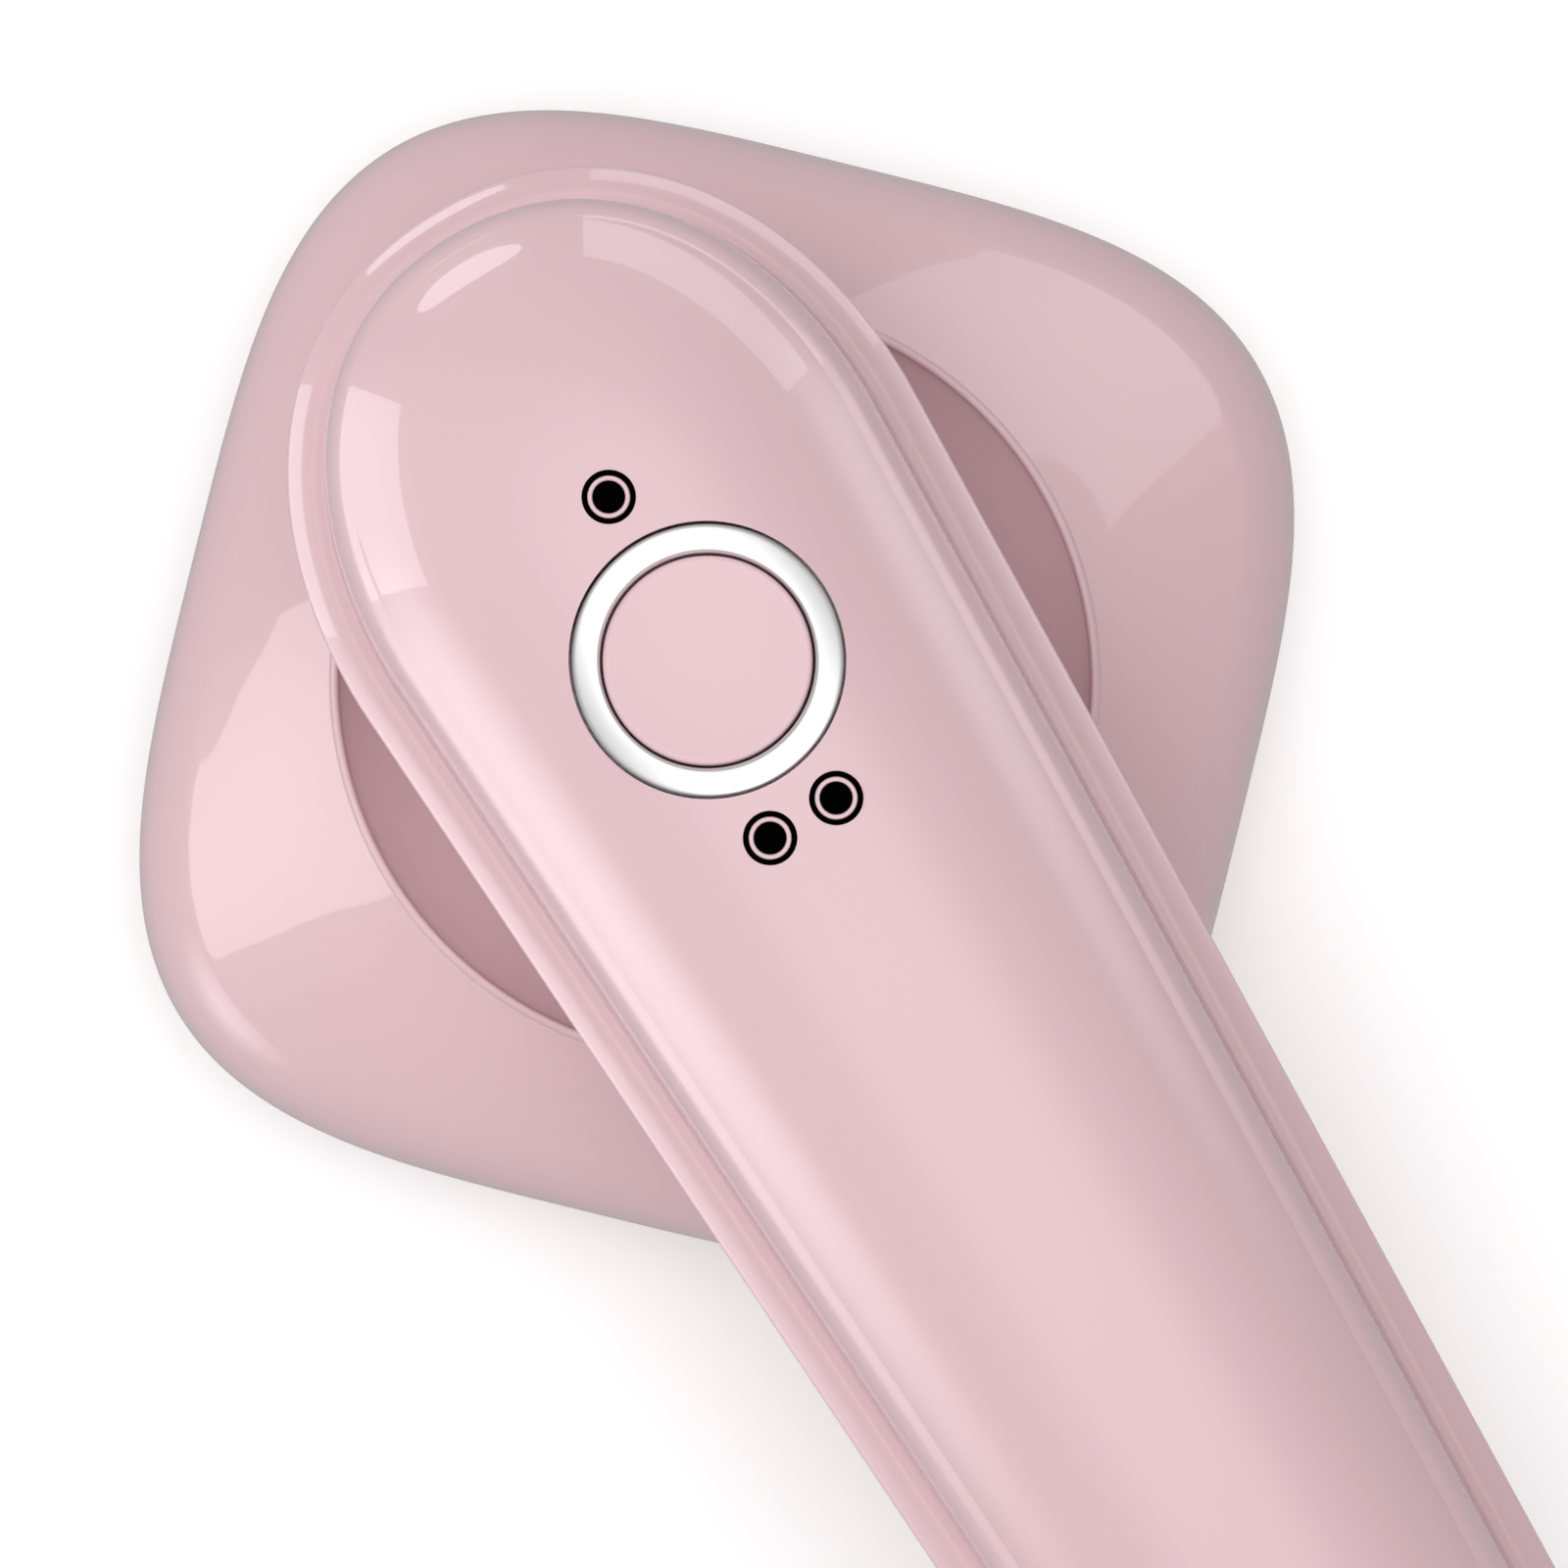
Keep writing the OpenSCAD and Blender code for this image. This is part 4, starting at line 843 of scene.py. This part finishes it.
@dataclass
class CordGland:
    """The rubber gland that the lead enters through, in the tail's end wall."""

    bore: float = 3.3
    body: float = 5.45
    collar: float = 6.55

    def gland(self) -> bpy.types.Object:
        """Bush with an inner flange, an outer collar with two fine grooves and a rolled mouth."""
        low, high = (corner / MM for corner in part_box("cord_gland"))
        inner_y, outer_y, z = high.y, low.y, (low.z + high.z) / 2
        b, c = self.body, self.collar
        outside = [(c - 0.05, inner_y), (c - 0.05, inner_y - 1.6), (b, inner_y - 1.7), (b, outer_y + 1.85),
                   (c, outer_y + 1.8), (c, outer_y + 1.4), (c - 0.25, outer_y + 1.25), (c - 0.1, outer_y + 1.1),
                   (c - 0.12, outer_y + 0.75), (c - 0.4, outer_y + 0.6), (c - 0.3, outer_y + 0.45),
                   (c - 0.6, outer_y + 0.08), (c - 1.0, outer_y), (self.bore + 0.5, outer_y),
                   (self.bore + 0.1, outer_y + 0.15), (self.bore, outer_y + 0.5), (self.bore, inner_y)]
        return dress(turned("cord_gland_rubber", outside, (0, 0, z), around=96, axis="Y"), BLACK_RUBBER, "handle",
                     "black_rubber", "cord_gland")


def dress_cad() -> None:
    """Gives every CAD node the finish of its own material slot."""
    for row in frame["record"]["subparts"]:
        node = frame["nodes"][row["node"]]
        node.data.materials.clear()
        node.data.materials.append(SLOT_FINISH[row["material_slot"]].material())


# ------------------------------------------------------------------------------------ studio


class Seen(Enum):
    """What a soft light does."""

    FADING = "shows in gloss only, and fades towards its edge, so its reflection has no outline"
    LIT = "lights surfaces only"
    GLOSS = "shows in gloss only"


@dataclass
class Studio:
    """Camera straight above the handle, a pale floor and soft boxes round it."""

    height: float = 253.0
    roll_deg: float = 31.2
    across_mm: float = 146.24
    camera_x: float = -1.83
    aim_x: float = 0.64
    aim_y: float = -10.57
    paper: bpy.types.Object | None = None

    def screen(self, right: float, up: float) -> Vector:
        """Turns a direction in the camera's view, right and up, into one on the floor."""
        a = math.radians(self.roll_deg)
        return Vector((right * math.cos(a) + up * math.sin(a), -right * math.sin(a) + up * math.cos(a), 0))

    def camera(self) -> None:
        """Sets the camera above the handle, the handle's tail towards the lower right corner."""
        widest = (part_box("base_frame")[0].z + 3.7 * MM) / MM
        place = Vector((self.camera_x, self.aim_y, widest + self.height)) * MM
        aim = Vector((self.aim_x, self.aim_y, widest)) * MM
        back = (place - aim).normalized()
        right = self.screen(0, 1).cross(back).normalized()
        up = back.cross(right)
        data = bpy.data.cameras.new("camera")
        data.sensor_width = 36.0
        data.lens = data.sensor_width * self.height / self.across_mm
        data.clip_start, data.clip_end = 0.01, 20.0
        camera = bpy.data.objects.new("camera", data)
        camera.matrix_world = Matrix((
            (right.x, up.x, back.x, place.x), (right.y, up.y, back.y, place.y),
            (right.z, up.z, back.z, place.z), (0, 0, 0, 1)))
        bpy.context.scene.collection.objects.link(camera)
        bpy.context.scene.camera = camera

    def floor(self) -> None:
        """A pale floor that the steamer stands on. It keeps out of reflections, so edges stay crisp on it."""
        reach = 1500.0
        corners = np.array([(-reach, -reach), (reach, -reach), (reach, reach), (-reach, reach)])
        rings = np.array([np.column_stack([corners, np.full(4, z)]) for z in (-4.0, -0.05)])
        floor = surface("floor", rings, Ends.CAPPED)
        paper = Finish("white_paper_sweep", "#FBFBFB", "#F8F8F8", 0.9, 0.03, grain_mm=1.0, bump_mm=0.003)
        floor.data.materials.append(paper.material())
        floor.visible_glossy = False
        self.paper = floor

    def soft_box(self, name: str, azimuth: float, zenith: float, distance: float, size: tuple[float, float],
                 radiance: float, seen: Seen, only: tuple[bpy.types.Object, ...] = (), rounded: bool = False,
                 shadows: bool = True) -> None:
        """A flat soft light, aimed at the steamer.

        Power = pi * area * radiance, which gives the panel that radiance.

        Args:
            name: the light's name.
            azimuth: its direction in the camera's view, in degrees anticlockwise from the right.
            zenith: its angle from straight up, in degrees.
            distance: how far it stands from the steamer, in mm.
            size: its width and height, in mm.
            radiance: how bright the panel is, where 1 is a white floor.
            seen: whether it lights surfaces or shows in their gloss.
            only: the pieces that it lights. A diffuse box with none lights all but the paper.
            rounded: an oval panel rather than a rectangular one.
            shadows: whether anything stands in its way.
        """
        data = bpy.data.lights.new(name, "AREA")
        data.shape, data.size, data.size_y = "ELLIPSE" if rounded else "RECTANGLE", size[0] * MM, size[1] * MM
        data.energy = math.pi * data.size * data.size_y * radiance
        if seen is Seen.FADING:
            self.fade(data)
        light = bpy.data.objects.new(name, data)
        a, t = math.radians(azimuth), math.radians(zenith)
        away = self.screen(math.cos(a), math.sin(a)) * math.sin(t) + Vector((0, 0, math.cos(t)))
        light.location = (Vector((0, 0, 40)) + away * distance) * MM
        light.rotation_euler = away.to_track_quat("Z", "Y").to_euler()
        light.visible_glossy = seen is not Seen.LIT
        light.visible_diffuse = seen is Seen.LIT
        if only or seen is Seen.LIT:
            group = bpy.data.collections.new(name + "_lights")
            for piece in only or (self.paper,):
                group.objects.link(piece)
            if not only:
                group.collection_objects[0].light_linking.link_state = "EXCLUDE"
            light.light_linking.receiver_collection = group
        if not shadows:
            light.light_linking.blocker_collection = bpy.data.collections.new(name + "_blockers")
        bpy.context.scene.collection.objects.link(light)

    def fade(self, data: bpy.types.AreaLight) -> None:
        """Makes a panel brightest in the middle: strength falls smoothly to nothing at its edge."""
        data.use_nodes = True
        tree = data.node_tree
        tree.nodes.clear()
        across = add_node(tree, "ShaderNodeNewGeometry").outputs["Parametric"]
        centred = add_node(tree, "ShaderNodeVectorMath", {"operation": "SUBTRACT"}, {"Vector": across})
        centred.inputs[1].default_value = (0.5, 0.5, 0.0)
        flat = add_node(tree, "ShaderNodeVectorMath", {"operation": "MULTIPLY"}, {"Vector": centred.outputs[0]})
        flat.inputs[1].default_value = (1.0, 1.0, 0.0)
        reach = add_node(tree, "ShaderNodeVectorMath", {"operation": "LENGTH"}, {"Vector": flat.outputs[0]})
        falloff = add_node(tree, "ShaderNodeMapRange", {"interpolation_type": "SMOOTHSTEP", "From Min": 0.0,
                           "From Max": 0.5, "To Min": 1.0, "To Max": 0.0}, {"Value": reach.outputs["Value"]})
        glow = add_node(tree, "ShaderNodeEmission", None, {"Strength": falloff.outputs["Result"]})
        add_node(tree, "ShaderNodeOutputLight", None, {"Surface": glow.outputs["Emission"]})

    def lights(self, head: tuple[bpy.types.Object, ...], handle: tuple[bpy.types.Object, ...],
               ring: tuple[bpy.types.Object, ...]) -> None:
        """Even pale surroundings, two boxes for the steamer, one for the paper, and panels for the gloss.

        Args:
            head: the pieces of the steam head, which have panels of their own.
            handle: the handle's shells, which have theirs too.
            ring: the plated ring, which a broad panel whitens.
        """
        world = bpy.data.worlds.new("surround")
        world.use_nodes = True
        back = world.node_tree.nodes["Background"]
        back.inputs["Color"].default_value = (1, 0.98, 0.985, 1)
        back.inputs["Strength"].default_value = 0.43
        bpy.context.scene.world = world
        for row in (
            ("overhead", 90, 0, 900, (1200, 1200), 1.4, Seen.LIT),
            ("key_left", 178, 42, 1000, (600, 600), 2.9, Seen.LIT),
            ("paper_fill", 90, 0, 900, (1200, 1200), 2.3, Seen.LIT, (self.paper,), False, False),
            ("long_glow", -59, 6, 880, (1050, 1500), 1.2, Seen.FADING),
            ("low_left_panel", 177, 84, 700, (480, 330), 2.3, Seen.GLOSS, handle),
            ("low_right_panel", 68, 84, 760, (720, 260), 1.5, Seen.GLOSS, handle),
            ("low_top_panel", 122, 83, 700, (330, 110), 2.4, Seen.GLOSS, handle, True),
            ("side_left_panel", 213, 89, 700, (760, 760), 3.2, Seen.FADING, handle),
            ("side_right_panel", 31, 90, 700, (620, 520), 2.0, Seen.FADING, handle),
            ("head_corner_panel", 214, 88, 700, (520, 420), 2.4, Seen.FADING, head),
            ("ring_panel", -55, 22, 900, (1300, 1300), 0.72, Seen.GLOSS, ring),
            ("head_right_panel", 50, 57, 700, (520, 400), 1.1, Seen.GLOSS, head),
            ("head_left_panel", 184, 52, 700, (420, 420), 2.3, Seen.GLOSS, head),
        ):
            self.soft_box(*row)

    def build(self) -> None:
        """Sets up the camera and the floor, and shows colours as they are, with no film curve."""
        self.camera()
        self.floor()
        bpy.context.scene.view_settings.view_transform = "Standard"


def main() -> None:
    """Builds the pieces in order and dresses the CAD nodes."""
    logging.basicConfig(level=logging.INFO, format="%(name)s: %(message)s")
    studio = Studio()
    studio.build()
    dress_cad()
    head = SteamHead()
    handle = Handle()
    controls = Controls(handle)
    studio.lights((head.cover(), head.skirt()), (handle.upper(), handle.lower()), (controls.ring(),))
    controls.cap()
    controls.lamps()
    FillerFlap().flap()
    CordGland().gland()


if __name__ == "__main__":
    main()
